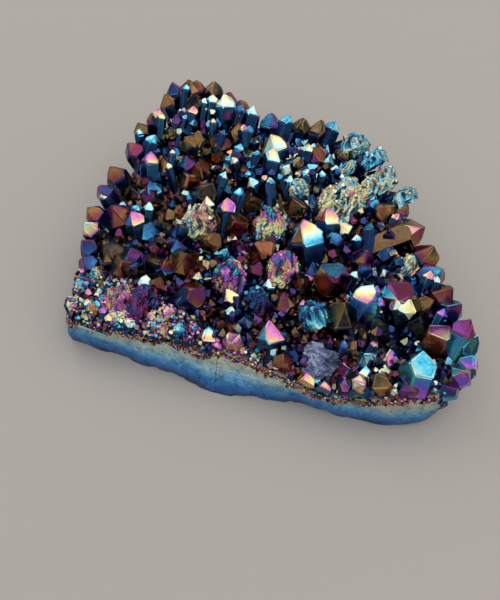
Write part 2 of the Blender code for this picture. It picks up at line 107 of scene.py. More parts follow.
# Crystals with one pyramid face that looks east or west: tip x, y and height, width across the
# flats, heading of the tip, look of that face, coat at the tip and at the foot of the pyramid, and
# the finish. The coat's thickness runs from 0, bare and dark, through gold, magenta, blue, pale
# silver, yellow, pink and violet to 1, green.
FACING_CRYSTALS = (
    # back rim, from the top of the slab to the right
    (-25.0, 35.0, 24.0, 6.0, 125, "east", 0.76, 0.68, "clean"),
    (-28.5, 35.0, 23.0, 3.6, 110, "east", 0.75, 0.69, "clean"),
    (-16.4, 34.2, 22.3, 4.4, 105, "east", 0.70, 0.64, "clean"),
    (-32.5, 30.0, 22.0, 3.4, 100, "east", 0.86, 0.79, "clean"),
    (-9.0, 24.0, 22.0, 6.8, 140, "east", 0.76, 0.66, "clean"),
    (-7.0, 20.0, 21.0, 5.6, 105, "east", 0.76, 0.69, "clean"),
    (-6.0, 34.3, 21.0, 4.4, 60, "west", 0.60, 0.55, "clean"),
    (6.8, 34.8, 21.0, 4.2, 60, "west", 0.60, 0.54, "clean"),
    (1.5, 24.0, 21.0, 3.6, 100, "east", 0.77, 0.70, "clean"),
    (13.5, 21.0, 20.0, 3.4, 60, "west", 0.67, 0.60, "etched"),
    # left rim
    (-42.2, 27.0, 21.5, 3.8, 120, "east", 0.86, 0.74, "clean"),
    (-39.5, 17.0, 21.0, 4.2, 60, "west", 0.62, 0.55, "clean"),
    (-38.5, 10.5, 21.0, 5.0, 120, "east", 0.91, 0.76, "clean"),
    (-36.5, -9.5, 19.0, 5.0, 140, "east", 0.92, 0.76, "clean"),
    (-28.2, -23.8, 14.0, 4.4, 110, "east", 0.76, 0.57, "clean"),
    # pale etched ridges
    (18.5, 17.0, 19.5, 6.2, 150, "east", 0.73, 0.68, "etched"),
    (15.5, 13.0, 19.0, 6.0, 130, "east", 0.74, 0.67, "etched"),
    (17.0, 10.0, 18.0, 5.0, 110, "east", 0.70, 0.65, "etched"),
    (9.0, 11.5, 19.0, 5.6, 150, "east", 0.79, 0.68, "etched"),
    (11.0, 8.5, 18.0, 5.0, 120, "east", 0.71, 0.66, "etched"),
    (24.0, 18.5, 19.5, 4.2, 60, "west", 0.68, 0.62, "etched"),
    (1.0, 12.0, 19.0, 4.6, 130, "east", 0.69, 0.63, "etched"),
    (3.0, 17.0, 19.0, 3.6, 100, "east", 0.70, 0.62, "clean"),
    # middle
    (-11.0, 8.5, 20.0, 3.6, 150, "east", 0.66, 0.60, "clean"),
    (-12.0, 4.5, 20.0, 3.6, 70, "west", 0.64, 0.56, "clean"),
    (-14.5, 0.0, 20.0, 5.0, 115, "east", 0.88, 0.84, "clean"),
    (-20.0, 0.0, 19.0, 3.8, 130, "east", 0.80, 0.68, "clean"),
    (5.5, -3.8, 21.5, 8.6, 133, "east", 0.87, 0.53, "clean"),
    (10.5, 4.0, 19.0, 5.8, 120, "east", 0.85, 0.70, "clean"),
    (14.0, 0.5, 18.0, 4.2, 165, "east", 0.79, 0.72, "clean"),
    (12.5, -3.0, 18.0, 4.2, 150, "east", 0.56, 0.48, "clean"),
    (-8.0, -17.5, 18.5, 7.0, 110, "east", 0.88, 0.84, "etched"),
    (-20.5, -3.5, 19.5, 7.6, 120, "east", 0.76, 0.68, "etched"),
    (-2.5, -0.5, 19.5, 7.2, 110, "east", 0.85, 0.52, "etched"),
    (4.0, -12.0, 18.5, 7.4, 100, "east", 0.86, 0.68, "etched"),
    (-8.0, -24.5, 16.0, 4.4, 150, "east", 0.75, 0.70, "clean"),
    (3.5, -30.0, 15.5, 6.8, 130, "east", 0.92, 0.84, "clean"),
    # right
    (33.5, -3.5, 17.0, 5.4, 60, "west", 0.70, 0.88, "etched"),
    (24.8, -16.5, 18.5, 6.6, 60, "west", 0.72, 0.80, "clean"),
    (37.5, -30.0, 17.0, 7.4, 105, "east", 0.582, 0.578, "clean"),
    (26.5, -35.0, 13.5, 5.6, 110, "east", 0.57, 0.86, "clean"),
    (30.5, -33.5, 13.5, 4.0, 110, "east", 0.75, 0.69, "clean"),
    (31.0, -30.0, 14.5, 4.8, 120, "east", 0.88, 0.86, "clean"),
    (49.0, -28.0, 16.0, 4.8, 40, "west", 0.95, 0.91, "clean"),
    (46.6, -20.6, 18.5, 6.0, 60, "west", 0.33, 0.36, "clean"),
    (35.5, -35.0, 12.0, 4.2, 110, "east", 0.58, 0.80, "clean"),
    # front rim
    (14.5, -38.5, 11.5, 4.2, 110, "east", 0.88, 0.72, "clean"),
    (18.5, -39.5, 11.0, 3.6, 110, "east", 0.76, 0.86, "clean"),
    (-9.5, -33.5, 13.0, 4.6, 110, "east", 0.56, 0.87, "clean"),
)

# Crystals that stand freely: tip x, y and height, width, heading of the lean, lean, turn, coat at
# the tip and at the foot, and the finish.
FREE_CRYSTALS = (
    # back rim
    (-37.0, 38.5, 24.0, 6.2, 130, 18, 10, 0.13, 0.33, "clean"),
    (-33.0, 33.5, 23.5, 5.8, 90, 14, 40, 0.12, 0.15, "clean"),
    (-20.5, 35.5, 22.5, 5.2, 95, 16, 25, 0.17, 0.45, "clean"),
    (-18.5, 26.0, 22.0, 5.6, 60, 10, 0, 0.36, 0.15, "clean"),
    (-11.0, 33.3, 21.5, 5.6, 90, 22, 35, 0.47, 0.44, "clean"),
    (-2.0, 33.0, 21.8, 5.4, 70, 12, 15, 0.12, 0.15, "clean"),
    (3.0, 34.2, 21.3, 6.0, 80, 24, 45, 0.14, 0.12, "clean"),
    (10.8, 31.0, 20.8, 5.0, 60, 26, 5, 0.63, 0.58, "etched"),
    (14.2, 30.8, 20.2, 4.6, 50, 32, 20, 0.66, 0.60, "etched"),
    (2.5, 23.0, 20.5, 5.8, 200, 16, 30, 0.27, 0.24, "clean"),
    (12.0, 26.5, 20.5, 5.2, 30, 14, 50, 0.22, 0.14, "clean"),
    (21.0, 21.0, 20.0, 4.4, 40, 26, 10, 0.67, 0.60, "etched"),
    (-42.0, 38.5, 22.3, 5.2, 140, 22, 20, 0.31, 0.37, "clean"),
    (-34.8, 40.0, 23.2, 4.8, 95, 16, 30, 0.29, 0.38, "clean"),
    (-29.8, 40.9, 23.2, 5.6, 80, 20, 0, 0.15, 0.13, "clean"),
    (-24.5, 38.0, 22.5, 4.6, 80, 18, 40, 0.20, 0.48, "clean"),
    (17.5, 26.5, 20.3, 5.0, 45, 26, 10, 0.60, 0.55, "etched"),
    (27.0, 15.8, 19.0, 4.8, 40, 30, 30, 0.64, 0.57, "etched"),
    (29.5, 11.5, 18.3, 4.6, 20, 26, 0, 0.17, 0.40, "clean"),
    # left rim
    (-42.5, 33.0, 22.0, 5.0, 160, 24, 15, 0.14, 0.20, "clean"),
    (-46.2, 20.8, 20.6, 5.0, 170, 28, 0, 0.16, 0.30, "clean"),
    (-45.8, 12.5, 20.5, 5.6, 180, 24, 35, 0.30, 0.36, "clean"),
    (-47.3, 3.0, 20.0, 5.4, 175, 26, 20, 0.17, 0.32, "clean"),
    (-47.5, -4.0, 19.8, 4.6, 180, 28, 50, 0.40, 0.47, "clean"),
    (-47.5, -11.5, 19.3, 4.8, 190, 28, 30, 0.20, 0.36, "clean"),
    (-46.8, -15.2, 18.2, 4.8, 190, 22, 10, 0.66, 0.86, "clean"),
    (-46.4, -19.2, 16.0, 5.0, 190, 26, 10, 0.36, 0.44, "clean"),
    (-45.0, -23.5, 14.5, 4.8, 195, 24, 40, 0.34, 0.42, "clean"),
    (-44.0, 25.5, 20.8, 4.4, 150, 22, 5, 0.10, 0.46, "clean"),
    # top left field
    (-29.0, 21.5, 21.0, 6.0, 120, 12, 20, 0.22, 0.12, "clean"),
    (-31.5, 18.0, 21.0, 5.2, 200, 16, 45, 0.20, 0.14, "clean"),
    (-25.5, 10.0, 20.0, 6.2, 260, 14, 5, 0.31, 0.27, "clean"),
    (-26.5, 5.5, 19.5, 6.0, 300, 22, 30, 0.24, 0.20, "clean"),
    (-22.0, 21.5, 21.0, 5.6, 30, 10, 50, 0.46, 0.15, "clean"),
    (-34.5, 9.5, 20.0, 5.0, 150, 16, 15, 0.10, 0.12, "clean"),
    (-35.5, 0.5, 20.0, 5.0, 170, 14, 25, 0.39, 0.46, "clean"),
    (-29.0, 12.0, 20.0, 4.8, 80, 20, 0, 0.48, 0.45, "clean"),
    (-41.5, -10.0, 20.0, 7.0, 200, 12, 40, 0.33, 0.30, "clean"),
    (-33.5, -1.5, 19.0, 5.4, 330, 20, 20, 0.27, 0.24, "clean"),
    # middle
    (-19.5, 4.0, 20.0, 6.4, 20, 24, 10, 0.15, 0.13, "clean"),
    (1.5, 4.5, 19.0, 6.4, 250, 16, 35, 0.29, 0.16, "clean"),
    (-9.0, 3.0, 19.5, 6.0, 290, 20, 5, 0.10, 0.12, "clean"),
    (-11.0, -6.5, 19.0, 6.4, 280, 26, 30, 0.24, 0.22, "clean"),
    (-16.0, -4.5, 18.5, 5.6, 250, 14, 0, 0.08, 0.10, "clean"),
    (-4.5, -11.5, 18.5, 6.2, 200, 28, 45, 0.21, 0.23, "clean"),
    (-19.5, -19.0, 18.5, 7.4, 310, 14, 20, 0.16, 0.14, "clean"),
    (-16.0, -13.0, 18.0, 5.4, 260, 30, 0, 0.18, 0.15, "clean"),
    (16.0, -18.5, 20.5, 8.0, 285, 30, 60, 0.36, 0.22, "clean"),
    (12.0, 15.5, 19.0, 5.0, 10, 16, 35, 0.68, 0.64, "etched"),
    (18.5, -1.0, 17.5, 5.2, 240, 24, 20, 0.18, 0.50, "clean"),
    (22.0, -5.5, 17.0, 5.4, 60, 20, 10, 0.35, 0.34, "clean"),
    (11.0, -23.5, 16.5, 5.8, 250, 18, 40, 0.55, 0.50, "etched"),
    (5.5, -22.5, 16.5, 5.4, 120, 20, 15, 0.20, 0.16, "clean"),
    (19.2, -23.4, 19.0, 8.0, 100, 8, 5, 0.02, 0.05, "clean"),
    (-1.0, -22.5, 16.5, 5.4, 200, 18, 50, 0.52, 0.16, "etched"),
    (-4.5, -26.5, 16.0, 6.4, 310, 12, 20, 0.51, 0.48, "clean"),
    (11.0, -28.5, 14.5, 5.4, 260, 16, 30, 0.16, 0.22, "clean"),
    (16.0, -27.5, 14.5, 5.6, 280, 20, 0, 0.18, 0.24, "clean"),
    (-12.5, -26.0, 17.0, 6.0, 24, 46, 10, 0.35, 0.22, "clean"),
    (1.0, -35.0, 13.0, 4.6, 280, 14, 20, 0.36, 0.34, "clean"),
    (4.5, -36.5, 12.5, 5.0, 270, 18, 45, 0.26, 0.32, "clean"),
    (8.0, -34.0, 12.5, 4.6, 300, 18, 25, 0.50, 0.46, "clean"),
    # middle left, gold and magenta
    (-39.5, -20.0, 17.5, 6.4, 190, 14, 30, 0.15, 0.17, "clean"),
    (-33.0, -19.5, 17.5, 6.0, 80, 12, 0, 0.36, 0.46, "clean"),
    (-34.0, -23.5, 17.0, 6.2, 300, 18, 20, 0.20, 0.17, "clean"),
    (-28.5, -22.0, 17.0, 5.2, 250, 22, 45, 0.03, 0.05, "clean"),
    (-31.5, -10.5, 17.5, 6.0, 30, 10, 5, 0.45, 0.48, "clean"),
    (-24.0, -20.0, 16.5, 4.6, 70, 24, 15, 0.15, 0.70, "clean"),
    # right
    (26.0, 8.0, 19.5, 6.2, 320, 22, 40, 0.13, 0.16, "clean"),
    (34.5, 4.0, 18.5, 7.0, 20, 62, 30, 0.34, 0.19, "clean"),
    (28.0, 7.0, 17.5, 4.4, 300, 28, 10, 0.16, 0.84, "clean"),
    (37.0, -2.5, 19.5, 6.0, 30, 24, 20, 0.04, 0.30, "clean"),
    (39.4, -8.2, 18.3, 6.4, 340, 24, 0, 0.47, 0.34, "clean"),
    (42.4, -12.6, 18.0, 5.8, 15, 28, 35, 0.32, 0.30, "clean"),
    (31.8, -20.8, 19.5, 7.8, 285, 45, 60, 0.10, 0.04, "clean"),
    (36.0, -22.0, 17.0, 7.6, 250, 12, 20, 0.02, 0.04, "clean"),
    (48.5, -23.7, 17.5, 6.2, 20, 34, 30, 0.58, 0.52, "clean"),
    (41.9, -27.6, 18.5, 7.6, 285, 28, 60, 0.31, 0.28, "clean"),
    (48.0, -32.0, 15.5, 5.6, 330, 26, 40, 0.89, 0.92, "clean"),
    (25.5, -32.5, 14.5, 4.8, 200, 14, 0, 0.50, 0.76, "clean"),
    (23.0, -36.0, 12.5, 4.2, 290, 18, 30, 0.86, 0.74, "clean"),
    (39.0, -34.5, 12.5, 5.4, 300, 30, 10, 0.90, 0.94, "clean"),
    (45.8, -35.8, 13.5, 5.0, 310, 30, 45, 0.34, 0.50, "clean"),
    (27.5, -3.0, 17.0, 4.8, 80, 22, 15, 0.50, 0.48, "clean"),
    (44.5, -16.5, 18.0, 5.4, 10, 28, 20, 0.36, 0.50, "clean"),
)

# Further crystals that the solid doesn't carry, most of them small and bright, in the columns of
# FACING_CRYSTALS.
GLINTS = (
    (-30.5, 33.5, 22.5, 2.4, 110, "east", 0.70, 0.66, "clean"),
    (-45.0, 18.5, 20.5, 2.6, 130, "east", 0.66, 0.62, "clean"),
    (-46.5, -5.0, 19.0, 2.8, 150, "east", 0.79, 0.72, "clean"),
    (-33.5, -5.0, 18.5, 3.0, 110, "east", 0.66, 0.62, "clean"),
    (-35.5, -7.0, 19.0, 2.6, 60, "west", 0.56, 0.53, "clean"),
    (-15.5, 27.0, 21.0, 3.0, 100, "east", 0.54, 0.52, "clean"),
    (-17.0, 13.5, 21.0, 2.4, 150, "east", 0.80, 0.70, "clean"),
    (1.0, -19.0, 16.0, 3.2, 120, "east", 0.75, 0.66, "clean"),
    (-1.2, 13.0, 19.0, 3.0, 110, "east", 0.70, 0.62, "clean"),
    (-2.0, 15.7, 20.0, 3.0, 60, "west", 0.72, 0.66, "clean"),
    (6.5, 16.7, 19.0, 2.4, 120, "east", 0.66, 0.62, "clean"),
    (18.7, -1.0, 17.0, 2.6, 120, "east", 0.74, 0.56, "clean"),
    (30.4, -15.5, 16.5, 3.0, 70, "west", 0.53, 0.50, "clean"),
    (38.7, -10.0, 18.0, 2.2, 100, "east", 0.68, 0.66, "clean"),
    (37.1, -8.7, 18.0, 3.0, 100, "east", 0.84, 0.80, "clean"),
    (41.2, -18.0, 17.0, 2.6, 60, "west", 0.90, 0.86, "clean"),
    (21.0, -29.5, 13.5, 2.6, 100, "east", 0.52, 0.50, "clean"),
    (20.5, -12.5, 17.0, 2.2, 60, "west", 0.67, 0.64, "clean"),
    (-5.5, -28.2, 15.0, 2.8, 100, "east", 0.66, 0.60, "clean"),
    (-7.0, -36.4, 12.5, 2.8, 120, "east", 0.88, 0.84, "clean"),
    (-24.8, -30.2, 12.8, 3.0, 140, "east", 0.87, 0.85, "clean"),
    (-16.4, -26.4, 15.5, 3.2, 70, "west", 0.86, 0.74, "clean"),
    (7.4, -7.8, 17.5, 3.2, 110, "east", 0.76, 0.74, "clean"),
    (-39.8, -32.6, 12.0, 2.4, 110, "east", 0.90, 0.56, "clean"),
    (-37.5, -32.6, 12.0, 2.2, 110, "east", 0.57, 0.55, "clean"),
    (-35.4, -33.9, 12.0, 2.2, 110, "east", 0.91, 0.86, "clean"),
    (-33.5, -35.1, 11.5, 2.4, 110, "east", 0.84, 0.75, "clean"),
    (27.8, 7.0, 18.5, 2.8, 60, "west", 0.86, 0.82, "clean"),
    (33.2, -36.7, 11.0, 2.6, 110, "east", 0.60, 0.57, "clean"),
    (30.5, -4.2, 15.5, 4.0, 50, "west", 0.69, 0.66, "clean"),
    (29.8, -20.4, 19.6, 3.2, 150, "east", 0.80, 0.58, "clean"),
    (31.0, -22.6, 19.0, 5.2, 215, "east", 0.72, 0.78, "clean"),
    (-26.2, -27.5, 15.2, 7.6, 110, "east", 0.37, 0.33, "etched"),
    (-31.6, -28.0, 14.2, 6.0, 120, "east", 0.84, 0.78, "etched"),
    (25.6, -16.6, 18.6, 2.4, 110, "east", 0.92, 0.89, "clean"),
    (27.4, -16.2, 18.4, 2.4, 130, "east", 0.58, 0.56, "clean"),
    (26.6, -18.9, 17.6, 2.8, 120, "east", 0.89, 0.86, "clean"),
    (-36.5, 35.9, 24.2, 2.4, 110, "east", 0.66, 0.62, "clean"),
    (-19.4, 33.2, 22.4, 3.0, 60, "west", 0.53, 0.50, "clean"),
    (-40.0, 24.3, 22.3, 2.4, 110, "east", 0.75, 0.72, "clean"),
    (-17.2, 26.1, 22.0, 2.8, 120, "east", 0.87, 0.85, "clean"),
    (-17.1, 8.0, 21.0, 2.6, 60, "west", 0.61, 0.57, "clean"),
    (-10.9, 17.8, 21.0, 2.4, 60, "west", 0.52, 0.50, "clean"),
    (-21.6, 22.6, 21.8, 2.2, 60, "west", 0.51, 0.48, "clean"),
    (-32.7, 11.9, 21.5, 1.8, 110, "east", 0.68, 0.66, "clean"),
    (-32.7, 7.1, 21.0, 2.2, 140, "east", 0.76, 0.74, "clean"),
    (-25.8, 25.8, 22.3, 2.0, 120, "east", 0.80, 0.78, "clean"),
)

# Faces of placed crystals that have a coat of their own, by tip x and y: turn of the face in steps
# of 60 degrees, whether it is a side of the prism, coat at its top and at its foot, change across
# it, and how bright it is, a painted shade that mixes navy into its coat.
FACE_COATS = {
    (16.0, -18.5): (
        (0, False, 0.34, 0.31, 0.02, 1.0), (1, False, 0.88, 0.84, 0.02, 1.0),
        (2, False, 0.54, 0.52, 0.00, 0.7), (3, False, 0.16, 0.18, 0.02, 1.0),
        (4, False, 0.32, 0.24, 0.02, 0.9), (5, False, 0.33, 0.24, 0.02, 1.0),
    ),
    (31.8, -20.8): (
        (0, False, 0.75, 0.57, 0.08, 1.0), (1, False, 0.44, 0.47, 0.00, 0.7),
        (2, False, 0.37, 0.33, 0.02, 1.0), (3, False, 0.72, 0.52, 0.10, 1.0),
        (4, False, 0.04, 0.45, 0.02, 0.8), (5, False, 0.47, 0.40, 0.04, 0.9),
    ),
    (24.8, -16.5): (
        (0, False, 0.66, 0.82, 0.05, 0.9), (1, False, 0.92, 0.89, 0.02, 1.0),
        (2, False, 0.56, 0.54, 0.00, 1.0), (1, True, 0.58, 0.38, 0.08, 1.0),
        (2, True, 0.92, 0.86, 0.04, 1.0), (0, True, 0.50, 0.44, 0.04, 0.9),
    ),
    (5.5, -3.8): (
        (0, False, 0.88, 0.54, -0.03, 1.0), (5, False, 0.27, 0.16, 0.02, 0.9),
    ),
    (41.9, -27.6): (
        (0, False, 0.95, 0.98, 0.02, 0.9), (1, False, 0.96, 0.99, 0.00, 0.8),
        (2, False, 0.76, 0.87, 0.03, 1.0), (3, False, 0.18, 0.25, 0.03, 1.0),
        (4, False, 0.29, 0.26, 0.02, 0.9), (5, False, 0.31, 0.36, 0.02, 0.9),
    ),
    (37.5, -30.0): (
        (1, False, 0.39, 0.37, 0.00, 1.0), (5, False, 0.58, 0.56, 0.00, 1.0),
        (0, True, 0.93, 0.86, 0.02, 1.0), (5, True, 0.95, 0.93, 0.00, 0.5),
    ),
    (46.6, -20.6): (
        (0, True, 0.97, 0.99, 0.00, 0.4), (1, True, 0.98, 0.96, 0.02, 0.5),
        (2, True, 0.96, 0.98, 0.00, 0.4), (1, False, 0.32, 0.30, 0.00, 0.9),
    ),
    (19.2, -23.4): (
        (5, False, 0.56, 0.50, 0.02, 0.9), (4, False, 0.03, 0.05, 0.00, 1.0),
    ),
    (34.5, 4.0): (
        (2, True, 0.21, 0.19, 0.02, 0.7), (3, True, 0.19, 0.22, 0.03, 0.7),
        (4, True, 0.22, 0.30, 0.02, 0.7), (3, False, 0.86, 0.80, 0.03, 1.0),
    ),
    (10.5, 4.0): (
        (0, False, 0.87, 0.73, 0.02, 1.0), (5, False, 0.34, 0.30, 0.02, 1.0),
    ),
    (3.5, -30.0): (
        (0, False, 0.90, 0.82, 0.07, 1.0), (5, False, 0.57, 0.54, 0.00, 1.0),
        (1, False, 0.25, 0.20, 0.00, 0.9),
    ),
    (-12.5, -26.0): (
        (0, False, 0.36, 0.34, 0.02, 1.0),
    ),
}

# Small pyramid faces of the crystals that show most, by tip x and y: how far out from the axis
# each starts, as a share of the half width.
CHOSEN_FACES = {
    (5.5, -3.8): (0.65, 0.55, 0.30), (37.5, -30.0): (0.92, 0.50, 0.92),
    (16.0, -18.5): (0.45, 0.50, 0.30), (31.8, -20.8): (0.65, 0.30, 0.30),
    (24.8, -16.5): (0.55, 0.75, 0.65), (41.9, -27.6): (0.25, 0.85, 0.35),
    (19.2, -23.4): (0.65, 0.25, 0.30), (34.5, 4.0): (0.80, 0.50, 0.70),
    (3.5, -30.0): (0.20, 0.75, 0.45), (-12.5, -26.0): (0.80, 0.70, 0.55),
    (10.5, 4.0): (0.70, 0.25, 0.40), (31.0, -22.6): (0.40, 0.35, 0.50),
}

# Bare patch of broken quartz near the front edge: its middle, and half its size.
BARE_PATCH_AT = (16.5, -34.0)
BARE_PATCH_SIZE = (6.6, 5.0, 4.4)

# Pale splinters on the front wall, placed as painted highlights along its top edge: two ends and a width.
WALL_HIGHLIGHT_SHARDS = (
    ((-40.2, -38.9, 9.3), (-36.4, -39.2, 8.8), 0.8), ((-37.0, -39.1, 8.9), (-33.0, -39.4, 8.2), 0.6),
    ((-18.2, -38.8, 9.8), (-15.6, -39.5, 8.8), 0.6),
)

# The low druse of the front left corner lies in front of this line.
DRUSE_LINE_FROM = (-44.0, -14.0)
DRUSE_LINE_TO = (-6.0, -38.0)

WORN_AND_LIGHTER_BEHIND = 4.0         # crystals further back than this Y are more worn, and middling ones there lighter, a painted light
WEAR_AT_BACK = 3.0        # how many times as much
WEAR = 0.010              # how far a crystal's corners stray, as a share of its width
RIM_WIDTH = (0.16, 0.34)  # rims around the stepped faces of large crystals
RIM_STEP = (-0.05, 0.09)

# Etched crystals: domes with the faces of a crystal, crumpled into ridges.
ETCHED_BODY = 0.88        # width of the plain crystal inside a dome, as a share of its own
ETCHED_SINK = 0.34        # how far that crystal is sunk, in widths
DOME_WIDTH = 0.56         # half width of a dome, as a share of its crystal's width
DOME_POWER = 12           # how sharply its faces meet
DOME_TIPS = 1.3           # small tips on it for each millimetre of width
RIDGES_FROM = (8.0, -10.0)  # domes beyond this X and Y are drawn out into long ridges
RIDGE_TURN = Matrix.Rotation(math.radians(57.0), 3, "Z")
RIDGE_STRETCH = RIDGE_TURN @ Matrix.Diagonal((1.40, 0.80, 0.90)) @ RIDGE_TURN.transposed()

# Crystals that a rule scatters between those above: tries, least distance between two as a share
# of both widths, width, rise of the tip above the bed, and lean.
FILL_PLAN = ((-46.0, 49.0), (-41.0, 40.0))
FILL_TRIES = 4000
FILL_SPREAD = 0.48
FILL_WIDTH = (3.6, 5.2)
FILL_RISE = (2.6, 5.4)
FILL_LEAN = (4.0, 26.0)
FILL_EDGE_LEAN = 24.0     # added lean outwards at the slab's edge
FILL_EDGE_REACH = 7.0
CORNER_TRIES = 6000
CORNER_SPREAD = 0.45
CORNER_WIDTH = (2.8, 4.2)
CORNER_RISE = (1.2, 2.8)
CORNER_LEAN = (0.0, 30.0)

# The crystals of the front left corner end in many small tips.
GOLDEN_TURN = 2.399963    # angle between one tip and the next around the middle
TIP_SPACING = 0.70
TIP_WIDTH = (0.7, 1.5)
TIP_LENGTH = 1.8
TIP_FALL = 0.80           # how far the outermost tips lie below the middle one, in half widths
TIP_REACH = 1.12          # and how far out, in half widths

# Young crystals and druse, drawn from a few unit shapes. Where three widths are given, they are
# the least, the greatest and the usual one.
SHAPE_KINDS = 8
FAR_BEHIND = 8.0          # behind this Y, more of them catch light, their painted shade is lighter and they stand higher
FRONT_RIM = (3.5, -34.0)  # the warm rim: this near to the edge, in front of this Y
LEFT_OF = -8.0            # X of the place where the coats of the left side start
RIGHT_OF = 20.0           # and of the right side
YOUNG_PLAN = ((-46.0, 49.0), (-40.0, 40.0))
YOUNG_WIDTH = (1.8, 4.4, 2.6)
YOUNG_SPREAD = 0.34
YOUNG_RISE = (2.8, 6.4)
YOUNG_RISE_IN_FRONT = (1.5, 4.0)
YOUNG_FRONT = -28.0       # in front of this Y, young crystals stand lower
YOUNG_RISE_AT_BACK = 2.8
LARGE_FROM = 5.0          # width of the crystals whose faces are kept in view
FACE_REACH = 0.95         # how far around them, in their widths
FACE_FALL = 0.62          # and how far below their tips
LYING_BODY = (30.5, 2.6, 6.5)     # plan place and width of the lying crystal's body
SATELLITE_WIDTH = (0.20, 0.38)    # small crystals on the sides of larger ones, in its widths
SATELLITE_WIDEST = 2.6
DRUSE_PLAN = ((-46.0, 49.0), (-42.0, 40.0))
DRUSE_WIDTH = (1.2, 2.6)
WARM_DRUSE_WIDTH = (0.7, 2.3, 1.2)
DRUSE_SPREAD = 0.31
WARM_DRUSE_SPREAD = 0.25
DRUSE_EDGE = 1.6          # druse is smaller and lower than elsewhere this near to the slab's edge
CORNER_PLAN = ((-46.0, -4.0), (-39.0, -12.0))
CORNER_DRUSE_WIDTH = (0.5, 1.8, 0.9)
CORNER_DRUSE_LENGTH = 1.6
WALL_DRUSE_WIDTH = (0.5, 1.7, 0.8)
RIM_DRUSE_WIDTH = (0.3, 0.9, 0.5)
WALL_DRUSE_DEPTH = 6.0    # how far down the sides it reaches
RIM_DRUSE_DEPTH = 1.9     # and down the front wall

# --- Coat ----------------------------------------------------------------------------------------

# Colours of the coat as it thickens, linear.
COAT_COLOURS = (
    (0.00, (0.005, 0.010, 0.025)), (0.05, (0.018, 0.016, 0.018)), (0.11, (0.17, 0.10, 0.02)),
    (0.18, (0.40, 0.205, 0.035)), (0.24, (0.38, 0.11, 0.02)), (0.30, (0.29, 0.035, 0.045)),
    (0.35, (0.26, 0.024, 0.14)), (0.39, (0.15, 0.045, 0.26)), (0.44, (0.03, 0.055, 0.185)),
    (0.50, (0.03, 0.12, 0.34)), (0.56, (0.03, 0.41, 0.62)), (0.58, (0.04, 0.60, 0.82)),
    (0.60, (0.14, 0.62, 0.72)), (0.64, (0.42, 0.75, 0.76)), (0.70, (0.76, 0.79, 0.58)),
    (0.75, (0.86, 0.72, 0.20)), (0.80, (0.84, 0.38, 0.22)), (0.85, (0.72, 0.16, 0.46)),
    (0.89, (0.38, 0.08, 0.52)), (0.92, (0.10, 0.12, 0.56)), (0.95, (0.012, 0.30, 0.42)),
    (1.00, (0.06, 0.48, 0.24)),
)
PAINTED_SHADE_NAVY = (0.011, 0.029, 0.072, 1.0)   # painted shade: what the coat is mixed towards where the shade attribute is low
SIDE_COAT = 0.47          # what the coat tends to on the sides of the prisms
SIDE_HOLD = 0.16          # share of the pyramid's own coat that is left there
SIDE_SHADE = 0.24         # painted shade: brightness of those sides under the pyramid
SIDE_FADE = 0.21          # how much of that painted brightness is lost further down
DEEP = 2.0                # half widths below the pyramid at which a crystal's painted shade is darkest
LONGEST_CHANGE = 1.6      # pyramid heights below the tip at which the coat stops changing
COAT_SLANT = 0.05         # greatest change of the coat across a face
COAT_DRIFT = 0.03         # and from corner to corner
RIM_COAT = 0.07           # and between a stepped face and its rim

# Coats that the scattered crystals draw from, by place, and those of the ones that catch light,
# mostly bright and pale: partly their real colour, partly a painted highlight.
WARM_COATS = (0.14, 0.18, 0.24, 0.32, 0.36, 0.74, 0.80, 0.84, 0.88, 0.58, 0.40)
LEFT_COATS = (0.08, 0.13, 0.15, 0.17, 0.20, 0.26, 0.34, 0.40, 0.45, 0.48, 0.50)
BACK_COATS = (0.12, 0.17, 0.44, 0.47, 0.50, 0.52, 0.54, 0.57, 0.60)
RIGHT_COATS = (0.04, 0.14, 0.20, 0.34, 0.40, 0.45, 0.48, 0.52, 0.95)
MIDDLE_COATS = (0.03, 0.12, 0.16, 0.18, 0.24, 0.33, 0.38, 0.44, 0.47, 0.50, 0.53)
RIM_COATS = (0.14, 0.17, 0.19, 0.24, 0.35, 0.39, 0.74, 0.80, 0.86)
LIT_COATS = (0.56, 0.60, 0.64, 0.68, 0.72, 0.75, 0.76, 0.80, 0.86)
WARM_LIT_COATS = (0.15, 0.17, 0.40, 0.54, 0.60, 0.66, 0.72, 0.76, 0.80, 0.84, 0.86, 0.88, 0.90)

# --- Matrix and studio ---------------------------------------------------------------------------

CRACK_X = -5.8            # where a fissure runs down the front wall, darkened by painted shade
# Colours up the front wall, of its soot, of the bed, and of bare quartz from dark to pale, linear.
WALL_COLOURS = (
    (0.00, (0.050, 0.10, 0.22)), (0.14, (0.050, 0.17, 0.46)), (0.30, (0.070, 0.30, 0.68)),
    (0.42, (0.20, 0.48, 0.68)), (0.53, (0.46, 0.60, 0.57)), (0.66, (0.58, 0.59, 0.42)),
    (0.80, (0.54, 0.46, 0.28)), (1.00, (0.42, 0.30, 0.18)),
)
SOOT_COLOURS = ((0.30, (0.45, 0.45, 0.50)), (0.52, (1.0, 1.0, 1.0)))
BED_COLOURS = (
    (0.15, (0.010, 0.022, 0.060)), (0.45, (0.05, 0.02, 0.07)), (0.60, (0.14, 0.03, 0.09)),
    (0.80, (0.26, 0.12, 0.05)),
)
BARE_COLOURS = (
    (0.14, (0.018, 0.022, 0.048)), (0.40, (0.075, 0.088, 0.155)), (0.58, (0.22, 0.24, 0.36)),
    (0.76, (0.60, 0.64, 0.80)),
)
FLOOR_HALF = 3000.0       # half the floor's side

